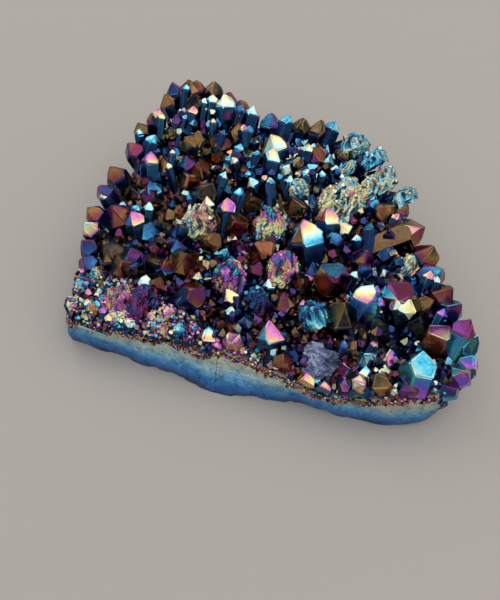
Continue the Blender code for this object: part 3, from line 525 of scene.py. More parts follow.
# Lamps: azimuth and elevation they shine from, distance, width and height in metres, colour.
KEY_LAMP = (25.0, 58.0, 0.60, 0.80, 0.60, (1.0, 0.98, 0.94))
SIDE_LAMP = (140.0, 45.0, 0.70, 0.40, 0.50, (0.86, 0.93, 1.0))
FRONT_LAMP = (-112.0, 32.0, 0.80, 0.70, 0.45, (0.90, 0.95, 1.0))
CEILING_LAMP = (0.0, 89.0, 0.90, 1.60, 1.60, (0.95, 0.97, 1.0))
ROOM_COLOUR = (0.72, 0.86, 1.0, 1.0)
CAMERA_TARGET = (-2.5, -23.5, 12.0)
CAMERA_LENS = 36.0        # and the same width of sensor


# --- Shape helpers -------------------------------------------------------------------------------

def smooth_step(value):
    """Ease from 0 to 1."""
    value = min(max(value, 0.0), 1.0)
    return value * value * (3.0 - 2.0 * value)


def direction(azimuth, tilt):
    """Unit vector that looks to an azimuth, tilted from straight up."""
    turn, lean = math.radians(azimuth), math.radians(tilt)
    return Vector((math.sin(lean) * math.cos(turn), math.sin(lean) * math.sin(turn), math.cos(lean)))


EDGE_SIDES = [
    (Vector(start), Vector(end)) for start, end in zip(SLAB_EDGE, SLAB_EDGE[1:] + SLAB_EDGE[:1])
]
EDGE_LENGTH = sum((end - start).length for start, end in EDGE_SIDES)


def edge_point(share):
    """Point on the slab's edge, at a share of the way around it."""
    left = share % 1.0 * EDGE_LENGTH
    for start, end in EDGE_SIDES:
        length = (end - start).length
        if left <= length:
            return start.lerp(end, left / length)
        left -= length
    return EDGE_SIDES[0][0].copy()


def distance_to_side(point, start, end):
    """Plan distance from a point to a straight side."""
    along = end - start
    share = min(max((point - start).dot(along) / along.length_squared, 0.0), 1.0)
    return (point - start - along * share).length


def edge_distance(x, y):
    """Distance inside the slab's edge, negative outside it."""
    point = Vector((x, y))
    inside = False
    for start, end in EDGE_SIDES:
        if (start.y > y) != (end.y > y):
            crossing = start.x + (y - start.y) * (end.x - start.x) / (end.y - start.y)
            inside = inside != (x < crossing)
    nearest = min(distance_to_side(point, start, end) for start, end in EDGE_SIDES)
    return nearest if inside else -nearest


def bed_height(x, y):
    """Height of the bed that the crystals stand on."""
    height = BED_HEIGHT + BED_RISE_TO_BACK * (y / BED_DEPTH + 0.5)
    height += BED_LUMP * math.sin(0.31 * x + 0.5) * math.cos(0.27 * y + 0.21 * x)
    corner = math.hypot(x - LOW_CORNER[0], y - LOW_CORNER[1])
    height -= LOW_CORNER_DROP * smooth_step(1.0 - corner / LOW_CORNER_REACH)
    sag = math.hypot(x - WALL_SAG_AT[0], y - WALL_SAG_AT[1])
    return height - WALL_SAG * smooth_step(1.0 - sag / WALL_SAG_REACH)


def in_low_druse(x, y):
    """Whether a place lies in the front left corner, in front of the druse line."""
    start, end = Vector(DRUSE_LINE_FROM), Vector(DRUSE_LINE_TO)
    return (end - start).cross(Vector((x, y)) - start) < 0.0


def patch_share(x, y):
    """Distance from the bare patch's middle, 1 at its edge."""
    across = (x - BARE_PATCH_AT[0]) / BARE_PATCH_SIZE[0]
    return math.hypot(across, (y - BARE_PATCH_AT[1]) / BARE_PATCH_SIZE[1])


def axes_from_face(look, heading):
    """Crystal axes with the first pyramid face looking one way and the tip heading another."""
    face = direction(*LOOKS[look])
    sideways = direction(heading, 90.0)
    sideways = (sideways - face * sideways.dot(face)).normalized()
    angle = math.radians(PYRAMID_ANGLE)
    axis = face * math.cos(angle) + sideways * math.sin(angle)
    across = (face - axis * face.dot(axis)).normalized()
    return Matrix((across, axis.cross(across), axis)).transposed()


def axes_from_lean(heading, lean, turn):
    """Crystal axes leaning towards a heading, turned about the crystal's own axis."""
    turned = Matrix.Rotation(math.radians(turn), 3, "Z")
    leaned = Matrix.Rotation(math.radians(lean), 3, "Y")
    return Matrix.Rotation(math.radians(heading), 3, "Z") @ leaned @ turned


def root_length(tip, axis, width):
    """Length from the tip down the axis to just below the bed."""
    length = width
    for _ in range(4):
        foot = tip - axis * length
        length = (tip.z - bed_height(foot.x, foot.y) + ROOT_DEPTH) / axis.z
    return min(length, max(width, SHORTEST_WIDTH) * LONGEST_IN_WIDTHS)


def cut_away(bm, point, normal):
    """Cut off what lies outside a plane and close the cut."""
    parts = bm.verts[:] + bm.edges[:] + bm.faces[:]
    made = bmesh.ops.bisect_plane(
        bm, geom=parts, dist=1.0e-4, plane_co=point, plane_no=normal, clear_outer=True
    )["geom_cut"]
    edges = [item for item in made if isinstance(item, bmesh.types.BMEdge)]
    if len(edges) > 2:
        bmesh.ops.contextual_create(bm, geom=edges)


def wall_cuts(tip, axes):
    """Planes, in a crystal's own axes, of the front sides that its prism may run out through."""
    turned = axes.transposed()
    cuts = []
    for start, end in EDGE_SIDES:
        if max(start.y, end.y) > FRONT_BELOW or distance_to_side(tip.xy, start, end) > CUT_REACH:
            continue
        along = (end - start).normalized()
        outward = Vector((along.y, -along.x, 0.0))
        point = start.to_3d() - outward * CUT_INSET
        cuts.append((turned @ (point - tip), turned @ outward))
    return cuts


def crystal_mesh(width, length, small_faces, bevel, cuts):
    """A six-sided prism under a pointed tip, as a bmesh with the tip at the origin.

    small_faces holds, for each of the three small pyramid faces, how far out from the axis it
    starts, as a share of the half width.
    """
    half = width / 2.0
    bm = bmesh.new()
    bmesh.ops.create_cone(
        bm, cap_ends=True, segments=6, radius1=half / math.cos(math.pi / 6.0),
        radius2=half / math.cos(math.pi / 6.0), depth=length,
        matrix=Matrix.Translation((0.0, 0.0, -length / 2.0)),
    )
    for face in range(3):
        cut_away(bm, Vector((0.0, 0.0, 0.0)), direction(120.0 * face, PYRAMID_ANGLE))
    for face, start in enumerate(small_faces):
        rise = half * start * PYRAMID_SLOPE / 2.0
        cut_away(bm, Vector((0.0, 0.0, rise)), direction(60.0 + 120.0 * face, PYRAMID_ANGLE))
    if bevel:
        edges = [edge for edge in bm.edges if min(vert.co.z for vert in edge.verts) > -length + 0.01]
        bmesh.ops.bevel(bm, geom=edges, offset=bevel, segments=1, affect="EDGES", clamp_overlap=True)
    for point, normal in cuts:
        cut_away(bm, point, normal)
    bm.normal_update()
    return bm


def step_faces(bm, rim, step):
    """Step the inner part of each broad face, and mark the rim left around it."""
    mark = bm.faces.layers.int.new("rim")
    broad = [face for face in bm.faces if face.calc_area() > 1.2 * rim * face.calc_perimeter()]
    made = bmesh.ops.inset_individual(bm, faces=broad, thickness=rim, depth=step, use_even_offset=True)
    for face in made["faces"]:
        face[mark] = 1
    return mark


def from_lowest(face):
    """A face's corners in order, from the one with the lowest number."""
    around = face.verts[:]
    first = min(range(len(around)), key=lambda spot: around[spot].index)
    return around[first:] + around[:first]


class CrystalShape:
    """A crystal's corners and faces, with what the coat needs to know of each face corner."""

    def __init__(self, width, length, small_faces, bevel=0.0, cuts=(), rim=0.0, step=0.0):
        bm = crystal_mesh(width, length, small_faces, bevel, cuts)
        mark = step_faces(bm, rim, step) if rim else None
        bm.normal_update()
        verts = sorted(bm.verts, key=lambda vert: [round(part, 4) for part in vert.co])
        for number, vert in enumerate(verts):
            vert.index = number
        self.width = width
        self.length = length
        self.corners = numpy.array([vert.co[:] for vert in verts])
        self.faces = []
        turns, depths, steeps, sides, rims = [], [], [], [], []
        for face in sorted(bm.faces, key=lambda face: sorted(vert.index for vert in face.verts)):
            turn = round(math.degrees(math.atan2(face.normal.y, face.normal.x)) / 60.0) % 6
            across = direction(60.0 * turn + 90.0, 90.0)
            around = from_lowest(face)
            self.faces.append([vert.index for vert in around])
            for vert in around:
                turns.append(turn)
                depths.append(-vert.co.z * 2.0 / width)
                steeps.append(abs(face.normal.z) < 0.3)
                sides.append(vert.co.dot(across) * 2.0 / width)
                rims.append(face[mark] if rim else 0)
        self.loops = [index for face in self.faces for index in face]
        self.ends = self.corners[:, 2] < -length + 1.0e-3
        self.end_loops = self.ends[self.loops]
        self.turns = numpy.array(turns)
        self.depths = numpy.array(depths)
        self.steeps = numpy.array(steeps)
        self.sides = numpy.array(sides)
        self.rims = numpy.array(rims)
        bm.free()


def mesh_from(bm, name):
    """Turn a bmesh in millimetres into a mesh in metres."""
    bmesh.ops.scale(bm, vec=(MM, MM, MM), verts=bm.verts)
    mesh = bpy.data.meshes.new(name)
    bm.to_mesh(mesh)
    bm.free()
    return mesh


def show(mesh, material):
    """Show a mesh as an object of its own name, with its material."""
    mesh.materials.append(material)
    item = bpy.data.objects.new(mesh.name, mesh)
    bpy.context.scene.collection.objects.link(item)
    return item


class Heap:
    """Many crystals gathered into one mesh, with the coat's values and a painted shade on every face
    corner.
    """

    def __init__(self):
        self.corners, self.faces = [], []
        self.coat, self.shade, self.along = [], [], []
        self.count = 0
        self.chance = numpy.random.default_rng(SEED)

    def add(self, shape, tip, axes, coat, foot, shifts, scale=1.0, shade=1.0, length=None, own=()):
        """Add one crystal. The coat runs from its tip value to its foot value down the pyramid.

        A length moves the lower end of a shared shape. Rows as in FACE_COATS may be given for it.
        """
        turn = numpy.array(axes)
        corners, depths = shape.corners * scale, shape.depths
        if length:
            corners[shape.ends, 2] = -length
            depths = numpy.where(shape.end_loops, 2.0 * length / (shape.width * scale), depths)
        chance = self.chance
        corners = corners + chance.normal(0.0, WEAR * shape.width * scale, corners.shape)
        self.corners.append(corners @ turn.T + numpy.array(tip))
        self.faces.extend([index + self.count for index in face] for face in shape.faces)
        self.count += len(shape.corners)
        down = numpy.minimum(depths / PYRAMID_SLOPE, LONGEST_CHANGE)
        slants = chance.uniform(-COAT_SLANT, COAT_SLANT, 6)[shape.turns] * shape.sides
        drift = chance.uniform(-COAT_DRIFT, COAT_DRIFT, len(shape.corners))[shape.loops]
        film = coat + (foot - coat) * down + numpy.array(shifts)[shape.turns] + drift + slants
        side_coat = SIDE_COAT + chance.uniform(-COAT_SLANT, COAT_SLANT, 6)[shape.turns]
        film = numpy.where(shape.steeps, side_coat + (film - side_coat) * SIDE_HOLD, film)
        # Painted shade: each crystal darkens down its prism into the gaps, its prism sides darker than its
        # pyramid; own rows set a painted brightness for single faces.
        deep = numpy.clip((depths - PYRAMID_SLOPE) / DEEP, 0.0, 1.0)
        bright = shade * numpy.where(shape.steeps, SIDE_SHADE - SIDE_FADE * deep, 1.0 - 0.8 * deep)
        for face, is_side, top, end, slant, glow in own:
            here = (shape.turns == face) & (shape.steeps == is_side)
            share = deep if is_side else down
            film = numpy.where(here, top + (end - top) * share + slant * shape.sides + drift, film)
            bright = numpy.where(here, glow, bright)
        film = film + shape.rims * chance.uniform(-RIM_COAT, RIM_COAT)
        self.coat.append(film)
        self.shade.append(bright)
        fall = depths * shape.width * scale / 2.0 + chance.uniform(1.0, 60.0)
        self.along.append(numpy.where(shape.steeps, fall, 0.0))

    def add_surface(self, corners, faces, coat, shade):
        """Add a free surface of triangles, with the coat's values at its corners."""
        loops = numpy.array(faces).ravel()
        self.corners.append(corners)
        self.faces.extend([index + self.count for index in face] for face in faces)
        self.count += len(corners)
        self.coat.append(coat[loops])
        self.shade.append(shade[loops])
        self.along.append(numpy.zeros(len(loops)))

    def build(self, name, material):
        """Make the object, in metres, with its material."""
        mesh = bpy.data.meshes.new(name)
        corners = numpy.concatenate(self.corners) * MM
        mesh.from_pydata(corners.tolist(), [], self.faces)
        for label, values in (("coat", self.coat), ("shade", self.shade), ("along", self.along)):
            layer = mesh.attributes.new(label, "FLOAT", "CORNER")
            layer.data.foreach_set("value", numpy.concatenate(values).astype(numpy.float32))
        return show(mesh, material)


class Spread:
    """Places on a plan that keep a set share of their widths apart."""

    CELL = 2.0
    REACH = 2                 # cells looked at to each side

    def __init__(self, taken=()):
        self.cells = {}
        for place in taken:
            self.take(*place)

    def take(self, x, y, width):
        """Record a place."""
        key = (int(x // self.CELL), int(y // self.CELL))
        self.cells.setdefault(key, []).append((x, y, width))

    def is_free(self, x, y, width, share):
        """Whether a place keeps clear of its neighbours."""
        column, row = int(x // self.CELL), int(y // self.CELL)
        for i in range(column - self.REACH, column + self.REACH + 1):
            for j in range(row - self.REACH, row + self.REACH + 1):
                for px, py, pw in self.cells.get((i, j), ()):
                    if math.hypot(x - px, y - py) < share * (width + pw):
                        return False
        return True


# --- Materials -----------------------------------------------------------------------------------

class Signal:
    """A shader output that Python's own operators can work on."""

    def __init__(self, graph, socket):
        self.graph = graph
        self.socket = socket

    def _with(self, operation, left, right):
        """Add the node of one operation."""
        return self.graph.node("ShaderNodeMath", {"operation": operation}, {0: left, 1: right})

    def __add__(self, other):
        return self._with("ADD", self, other)

    def __radd__(self, other):
        return self._with("ADD", other, self)

    def __sub__(self, other):
        return self._with("SUBTRACT", self, other)

    def __rsub__(self, other):
        return self._with("SUBTRACT", other, self)

    def __mul__(self, other):
        return self._with("MULTIPLY", self, other)

    def __rmul__(self, other):
        return self._with("MULTIPLY", other, self)

    def __truediv__(self, other):
        return self._with("DIVIDE", self, other)


class Graph:
    """A material's nodes, made by one method."""

    def __init__(self, name):
        self.material = bpy.data.materials.new(name)
        self.material.use_nodes = True
        self.tree = self.material.node_tree
        self.shader = self.tree.nodes["Principled BSDF"]

    def node(self, kind, settings, inputs, output=0):
        """Add a node: its settings first, then the values or links of its sockets."""
        made = self.tree.nodes.new(kind)
        for key, value in settings.items():
            if key == "stops":
                self.set_stops(made.color_ramp, value)
            else:
                setattr(made, key, value)
        for key, value in inputs.items():
            self.feed(made.inputs[key], value)
        return Signal(self, made.outputs[output])

    def feed(self, socket, value):
        """Link a signal to a socket, or set the socket's own value."""
        if isinstance(value, Signal):
            self.tree.links.new(value.socket, socket)
        else:
            socket.default_value = value

    def set_stops(self, ramp, stops):
        """Give a colour ramp its stops, from 0 to 1."""
        while len(ramp.elements) < len(stops):
            ramp.elements.new(1.0)
        for element, (place, colour) in zip(ramp.elements, stops):
            element.position = place
            element.color = (*colour, 1.0)

    def finish(self, **sockets):
        """Feed the shader's sockets, named with underscores for spaces."""
        for name, value in sockets.items():
            self.feed(self.shader.inputs[name.replace("_", " ")], value)
        return self.material

    def attribute(self, name):
        """A value stored on the mesh."""
        return self.node("ShaderNodeAttribute", {"attribute_name": name}, {}, "Fac")

    def place(self):
        """Position on the object, in millimetres."""
        local = self.node("ShaderNodeTexCoord", {}, {}, "Object")
        scale = (1.0 / MM, 1.0 / MM, 1.0 / MM)
        return self.node("ShaderNodeVectorMath", {"operation": "MULTIPLY"}, {0: local, 1: scale})

    def noise(self, place, scale, detail=2.0, roughness=0.5):
        """Noise from 0 to 1 around 0.5, scale in cycles a millimetre."""
        sizes = {"Scale": scale, "Detail": detail, "Roughness": roughness}
        return self.node("ShaderNodeTexNoise", {}, {"Vector": place, **sizes}, "Fac")

    def line_noise(self, value, scale, detail):
        """Noise from 0 to 1 around 0.5 that varies along one value only."""
        sizes = {"W": value, "Scale": scale, "Detail": detail}
        return self.node("ShaderNodeTexNoise", {"noise_dimensions": "1D"}, sizes, "Fac")

    def above(self, value, limit):
        """1 where a value is above a limit, 0 elsewhere."""
        return self.node("ShaderNodeMath", {"operation": "GREATER_THAN"}, {0: value, 1: limit})

    def ramp(self, value, stops):
        """Colour looked up by a value."""
        return self.node("ShaderNodeValToRGB", {"stops": stops}, {"Fac": value}, "Color")

    def mix(self, factor, first, second, blend="MIX"):
        """Mix two colours."""
        settings = {"data_type": "RGBA", "blend_type": blend}
        return self.node("ShaderNodeMix", settings, {0: factor, 6: first, 7: second}, 2)

    def bump(self, height, strength, distance):
        """Normal of a surface with fine relief."""
        values = {"Height": height, "Strength": strength, "Distance": distance}
        return self.node("ShaderNodeBump", {}, values, "Normal")


def muted(colour, share):
    """A colour drawn towards grey of its own brightness."""
    grey = 0.21 * colour[0] + 0.72 * colour[1] + 0.07 * colour[2]
    return tuple(part + (grey - part) * share for part in colour)


def coat_material(name, settings, dullness, relief, patchiness):
    """Metal coat in interference colours, strongest at the crystals' tips, drawn towards navy elsewhere by
    painted shade.
    """
    graph = Graph(name)
    place = graph.place()
    drift = graph.noise(place, 0.35, 3.0) - 0.5
    patch = graph.noise(place, 1.1, 3.0) - 0.5
    along = graph.attribute("along")
    growth = graph.line_noise(along, 2.6, 3.0) - 0.5
    lines = growth * graph.above(along, 0.001)
    coat = graph.attribute("coat") + drift * (patchiness * 1.2) + patch * patchiness + lines * 0.05
    stops = [(spot, muted(tint, settings.mutedness)) for spot, tint in COAT_COLOURS]
    colour = graph.ramp(coat + settings.coat_shift, stops)
    # painted shade: the coat colour drawn towards navy where the shade attribute is low
    colour = graph.mix(graph.attribute("shade"), PAINTED_SHADE_NAVY, colour)
    grain = graph.noise(place, 5.0, 3.0, 0.6)
    crumple = graph.noise(place, 1.4, 4.0, 0.55)
    return graph.finish(
        Base_Color=colour,
        Metallic=1.0,
        Roughness=dullness + (grain - 0.5) * 0.12,
        Coat_Weight=0.14,
        Coat_Roughness=0.15,
        Normal=graph.bump(crumple * relief + grain * 0.15 + lines * 0.5, 1.0, 0.05 * MM),
    )


def matrix_material():
    """Coated matrix: dark where crystals stand, olive gold and blue in bands on the front wall, with
    painted shade along a fissure.
    """
    graph = Graph("matrix_coat")
    place = graph.place()
    up = graph.node("ShaderNodeSeparateXYZ", {}, {0: place}, "Z")
    across = graph.node("ShaderNodeSeparateXYZ", {}, {0: place}, "X")
    wave = graph.noise(place, 0.10, 3.0) - 0.5
    fine = graph.noise(place, 0.9, 4.0, 0.6) - 0.5
    height = up / 14.0 + wave * 0.42 + fine * 0.20
    bent = across - CRACK_X + fine * 1.6 + wave * 2.0
    crack_and_shade = graph.above(0.16, bent * bent * 16.0) * graph.above(up, 2.5)
    bed = graph.ramp(fine * 2.0 + 0.5, BED_COLOURS)
    soot = graph.noise(place, 0.45, 5.0, 0.7)
    wall = graph.mix(1.0, graph.ramp(height, WALL_COLOURS), graph.ramp(soot, SOOT_COLOURS), "MULTIPLY")
    # painted shade: near black mixed in along the fissure
    wall = graph.mix(crack_and_shade * 0.7, wall, (0.02, 0.03, 0.05, 1.0))
    return graph.finish(
        Base_Color=graph.mix(graph.attribute("bed"), wall, bed),
        Metallic=0.72,
        Roughness=0.40 + fine * 0.3,
        Normal=graph.bump(fine + soot - crack_and_shade * 0.5, 1.0, 0.3 * MM),
    )


def bare_material():
    """Broken quartz without coat: grey lilac, with pale splintery edges and painted shade darker towards
    +X.
    """
    graph = Graph("bare_quartz")
    place = graph.place()
    grain = graph.noise(place, 1.3, 5.0, 0.65)
    paleness = graph.attribute("paleness") * 0.7 + grain * 0.45
    return graph.finish(
        Base_Color=graph.ramp(paleness, BARE_COLOURS),
        Roughness=0.42,
        Normal=graph.bump(grain, 0.6, 0.15 * MM),
    )


def floor_material(settings):
    """Plain pale floor."""
    graph = Graph("plain_floor")
    return graph.finish(Base_Color=(*settings.floor_colour, 1.0), Roughness=0.75)


# --- Settings ------------------------------------------------------------------------------------

class ClusterSettings(bpy.types.PropertyGroup):
    """Sizes and finish of the cluster."""

    coat_shift: bpy.props.FloatProperty(
        name="Coat shift", description="Thickens or thins the whole coat", default=0.0,
        min=-0.2, max=0.2)
    mutedness: bpy.props.FloatProperty(
        name="Mutedness", description="How far the coat's colours are drawn towards grey",
        default=0.13, min=0.0, max=1.0, subtype="FACTOR")
    clean_dullness: bpy.props.FloatProperty(
        name="Clean face dullness", description="Roughness of clean faces", default=0.16,
        min=0.0, max=1.0, subtype="FACTOR")
    etched_dullness: bpy.props.FloatProperty(
        name="Etched face dullness", description="Roughness of etched faces", default=0.20,
        min=0.0, max=1.0, subtype="FACTOR")
    edge_bevel: bpy.props.FloatProperty(
        name="Edge bevel", description="Width of the worn edges of large crystals, in millimetres",
        default=0.09, min=0.0, max=0.3)
    young_tries: bpy.props.IntProperty(
        name="Young crystal tries", description="Tries at placing young crystals in the gaps",
        default=16000, min=0, max=60000)
    druse_tries: bpy.props.IntProperty(
        name="Druse tries", description="Tries at placing fine crystals over the bed",
        default=26000, min=0, max=60000)
    wall_druse_count: bpy.props.IntProperty(
        name="Wall druse count", description="Tiny crystals on the slab's sides",
        default=5000, min=0, max=10000)
    corner_tries: bpy.props.IntProperty(
        name="Corner druse tries", description="Tries at placing tiny crystals in the front corner",
        default=12000, min=0, max=60000)


class StudioSettings(bpy.types.PropertyGroup):
    """Floor, lamps and camera."""

    floor_colour: bpy.props.FloatVectorProperty(
        name="Floor colour", description="Colour of the plain floor", default=(0.53, 0.435, 0.358),
        min=0.0, max=1.0, size=3, subtype="COLOR")
    key_glow: bpy.props.FloatProperty(
        name="Key glow", description="Radiance of the large window to the right", default=0.57,
        min=0.0, max=20.0)
    side_glow: bpy.props.FloatProperty(
        name="Side glow", description="Radiance of the cool window to the left", default=1.0,
        min=0.0, max=20.0)
    front_glow: bpy.props.FloatProperty(
        name="Front glow", description="Radiance of the weak panel in front", default=0.60,
        min=0.0, max=20.0)
    ceiling_glow: bpy.props.FloatProperty(
        name="Ceiling glow", description="Radiance of the dim panel overhead", default=0.25,
        min=0.0, max=20.0)
    room_glow: bpy.props.FloatProperty(
        name="Room glow", description="Radiance of the room around", default=0.61,
        min=0.0, max=5.0)
    camera_distance: bpy.props.FloatProperty(
        name="Camera distance", description="Distance from the camera to the cluster",
        default=0.14173, min=0.05, max=2.0, unit="LENGTH")
    camera_azimuth: bpy.props.FloatProperty(
        name="Camera azimuth", description="How far the camera stands to the right of the wall",
        default=math.radians(14.655), subtype="ANGLE")
    camera_elevation: bpy.props.FloatProperty(
        name="Camera elevation", description="How far the camera looks down",
        default=math.radians(55.0), subtype="ANGLE")


# --- Pieces --------------------------------------------------------------------------------------

def belong(item):
    """Tie a piece to the cluster's body, in place of the solid, which it hides."""
    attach(item, BODY)
    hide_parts(NODE)


def placed_rows():
    """Tip, width, axes, coat values and finish of every placed crystal."""
    rows = []
    for x, y, z, width, heading, look, coat, foot, finish in FACING_CRYSTALS + GLINTS:
        rows.append((Vector((x, y, z)), width, axes_from_face(look, heading), coat, foot, finish, True))
    for x, y, z, width, heading, lean, turn, coat, foot, finish in FREE_CRYSTALS:
        axes = axes_from_lean(heading, lean, turn)
        rows.append((Vector((x, y, z)), width, axes, coat, foot, finish, False))
    return rows


def plan_key(tip):
    """Tip x and y of a placed crystal, as the lists give them."""
    return round(tip.x, 1), round(tip.y, 1)


def spread_between(share):
    """A spread that keeps clear of the placed crystals, at a share of their widths."""
    return Spread((tip.x, tip.y, width * share) for tip, width, *_ in placed_rows())


def square_share(u, v):
    """Share of the way around a square at which a point of it lies, from its lower left corner."""
    reach = max(abs(u), abs(v), 1.0e-9)
    along_u, along_v = (u / reach + 1.0) / 8.0, (v / reach + 1.0) / 8.0
    if v <= -reach + 1.0e-6:
        return along_u
    if u >= reach - 1.0e-6:
        return 0.25 + along_v
    if v >= reach - 1.0e-6:
        return 0.75 - along_u
    return 1.0 - along_v


def foot_flare(x):
    """How far the foot of the front wall stands out at a place along it."""
    for (left, here), (right, there) in zip(FOOT_FLARE, FOOT_FLARE[1:]):
        if left <= x < right:
            return here + (there - here) * (x - left) / (right - left)
    return 0.0


def wall_spread(x, y, share):
    """How far a slab side stands out from the slab's edge, at a share of the way to its foot."""
    spread = WALL_BULGE * math.sin(math.pi * share) - FOOT_INSET * share ** 3
    return spread + (foot_flare(x) * share if y < FRONT_BELOW else 0.0)


def slab_mesh():
    """The matrix: a grid drawn out to the slab's edge, with a worn wall and a flat underside."""
    middle = Vector(SLAB_MIDDLE)
    bm = bmesh.new()
    bmesh.ops.create_grid(bm, x_segments=SLAB_GRID[0], y_segments=SLAB_GRID[1], size=1.0)
    bed = bm.verts.layers.float.new("bed")
    for vert in bm.verts:
        u, v = vert.co.xy
        reach = max(abs(u), abs(v))
        vert[bed] = 1.0 if reach < 0.999 else 0.0
        place = middle.lerp(edge_point(square_share(u, v)), reach)
        drop = SHOULDER * smooth_step((reach - 0.96) / 0.04)
        rough = noise.fractal(Vector((place.x, place.y, 3.0)) * 0.5, 0.8, 2.1, 4)
        vert.co = (place.x, place.y, bed_height(place.x, place.y) - drop + 0.35 * rough)
    rim = [edge for edge in bm.edges if edge.is_boundary]
    for row in range(1, WALL_ROWS + 1):
        made = bmesh.ops.extrude_edge_only(bm, edges=rim)["geom"]
        rim = [item for item in made if isinstance(item, bmesh.types.BMEdge)]
        for vert in [item for item in made if isinstance(item, bmesh.types.BMVert)]:
            vert.co.z *= (WALL_ROWS - row) / (WALL_ROWS - row + 1.0)
            vert[bed] = 0.0
    for vert in bm.verts:
        if edge_distance(vert.co.x, vert.co.y) < 0.05:
            shape_wall_point(vert, middle)
    bmesh.ops.contextual_create(bm, geom=rim)
    bmesh.ops.recalc_face_normals(bm, faces=bm.faces)
    return bm


def shape_wall_point(vert, middle):
    """Bulge, waviness and chipped foot of the slab's sides."""
    top = bed_height(vert.co.x, vert.co.y) - SHOULDER
    share = 1.0 - min(max(vert.co.z / top, 0.0), 1.0)
    outward = (vert.co.xy - middle).normalized()
    spread = wall_spread(vert.co.x, vert.co.y, share)
    place = Vector((vert.co.x, vert.co.y, vert.co.z))
    wave = noise.fractal(Vector((place.x * 0.10, place.y * 0.10, place.z * 0.16)), 0.8, 2.0, 3)
    rough = noise.fractal(place * 0.8, 0.7, 2.2, 3)
    chips = max(noise.fractal(Vector((place.x * 0.22, place.y * 0.22, 7.0)), 0.7, 2.3, 4), 0.0)
    is_front = vert.co.y < FRONT_BELOW
    spread += 0.55 * wave + (0.09 if is_front else 0.4) * rough
    spread -= 1.0 * chips * smooth_step((share - 0.72) / 0.28)
    vert.co.x += outward.x * spread
    vert.co.y += outward.y * spread


class CLUSTER_OT_matrix(bpy.types.Operator):
    """Build the slab of matrix with its banded front wall"""

    bl_idname = "cluster.matrix"
    bl_label = "Matrix slab"

    def execute(self, context):
        mesh = mesh_from(slab_mesh(), "matrix_slab")
        mesh.shade_smooth()
        belong(show(mesh, matrix_material()))
        return {"FINISHED"}


def wear(y, edge_bevel):
    """Width of a crystal's worn edges, greater at the back."""
    return edge_bevel * (WEAR_AT_BACK if y > WORN_AND_LIGHTER_BEHIND else 1.0)


class CLUSTER_OT_crystals(bpy.types.Operator):
    """Build the large crystals, clean and etched"""

    bl_idname = "cluster.crystals"
    bl_label = "Large crystals"

    def execute(self, context):
        settings = context.scene.cluster
        noise.seed_set(SWIRL_SEED)
        clean, etched = Heap(), Heap()
        sphere = dome_sphere()
        for tip, width, axes, coat, foot, finish, facing in placed_rows():
            x, y = plan_key(tip)
            chance = random.Random(SEED + int(x * 10.0) + 1000 * int(y * 10.0))
            small = [chance.uniform(*SMALL_FACES) for _ in range(3)]
            small = CHOSEN_FACES.get((x, y), small)
            length = root_length(tip, axes.col[2], width)
            rim, step = chance.uniform(*RIM_WIDTH), chance.uniform(*RIM_STEP)
            bevel = wear(tip.y, settings.edge_bevel)
            shape = CrystalShape(width, length, small, bevel, wall_cuts(tip, axes), rim, step)
            spread = 0.12 if facing else 0.10
            shifts = [0.0 if facing and face == 0 else chance.uniform(-spread, spread) for face in range(6)]
            if finish == "etched":
                sunk = tip - axes.col[2] * ETCHED_SINK * width
                # the plain crystal inside the dome is darkened to 0.25, a painted shade
                etched.add(shape, sunk, axes, 0.45, 0.45, shifts, ETCHED_BODY, 0.25)
                lit = axes if facing else axes_from_face(chance.choice(("east", "west")), 120.0)
                # painted shade: etched domes without a face towards the lamps are darker, most on the left
                bright = 1.0 if facing else 0.85 if tip.x > 0.0 else 0.6
                add_etched_dome(etched, chance, sphere, tip, width, lit, coat, foot, bright)
            else:
                # painted shade: clean crystals without a face towards the lamps are a little darker
                bright = 1.0 if facing else 0.85
                own = FACE_COATS.get((x, y), ())
                clean.add(shape, tip, axes, coat, foot, shifts, shade=bright, own=own)
        dull = coat_material("clean_coat", settings, settings.clean_dullness, 0.9, 0.08)
        rough = coat_material("etched_coat", settings, settings.etched_dullness, 1.6, 0.12)
        belong(clean.build("crystals", dull))
        belong(etched.build("etched_crystals", rough))
        return {"FINISHED"}


DOME_PLANES = [(direction(60.0 * face, PYRAMID_ANGLE), 0.90) for face in range(6)]
DOME_PLANES += [(direction(60.0 * face, 90.0), 1.0) for face in range(6)]
DOME_PLANES += [(direction(0.0, 0.0), 1.0)]


def dome_sphere():
    """Corners and triangles of a unit sphere without its lowest part."""
    bm = bmesh.new()
    bmesh.ops.create_icosphere(bm, subdivisions=5, radius=1.0)
    low = [vert for vert in bm.verts if vert.co.z < -0.7]
    bmesh.ops.delete(bm, geom=low, context="VERTS")
    bm.verts.index_update()
    corners = [vert.co.copy() for vert in bm.verts]
    faces = [[vert.index for vert in face.verts] for face in bm.faces]
    bm.free()
    return corners, faces


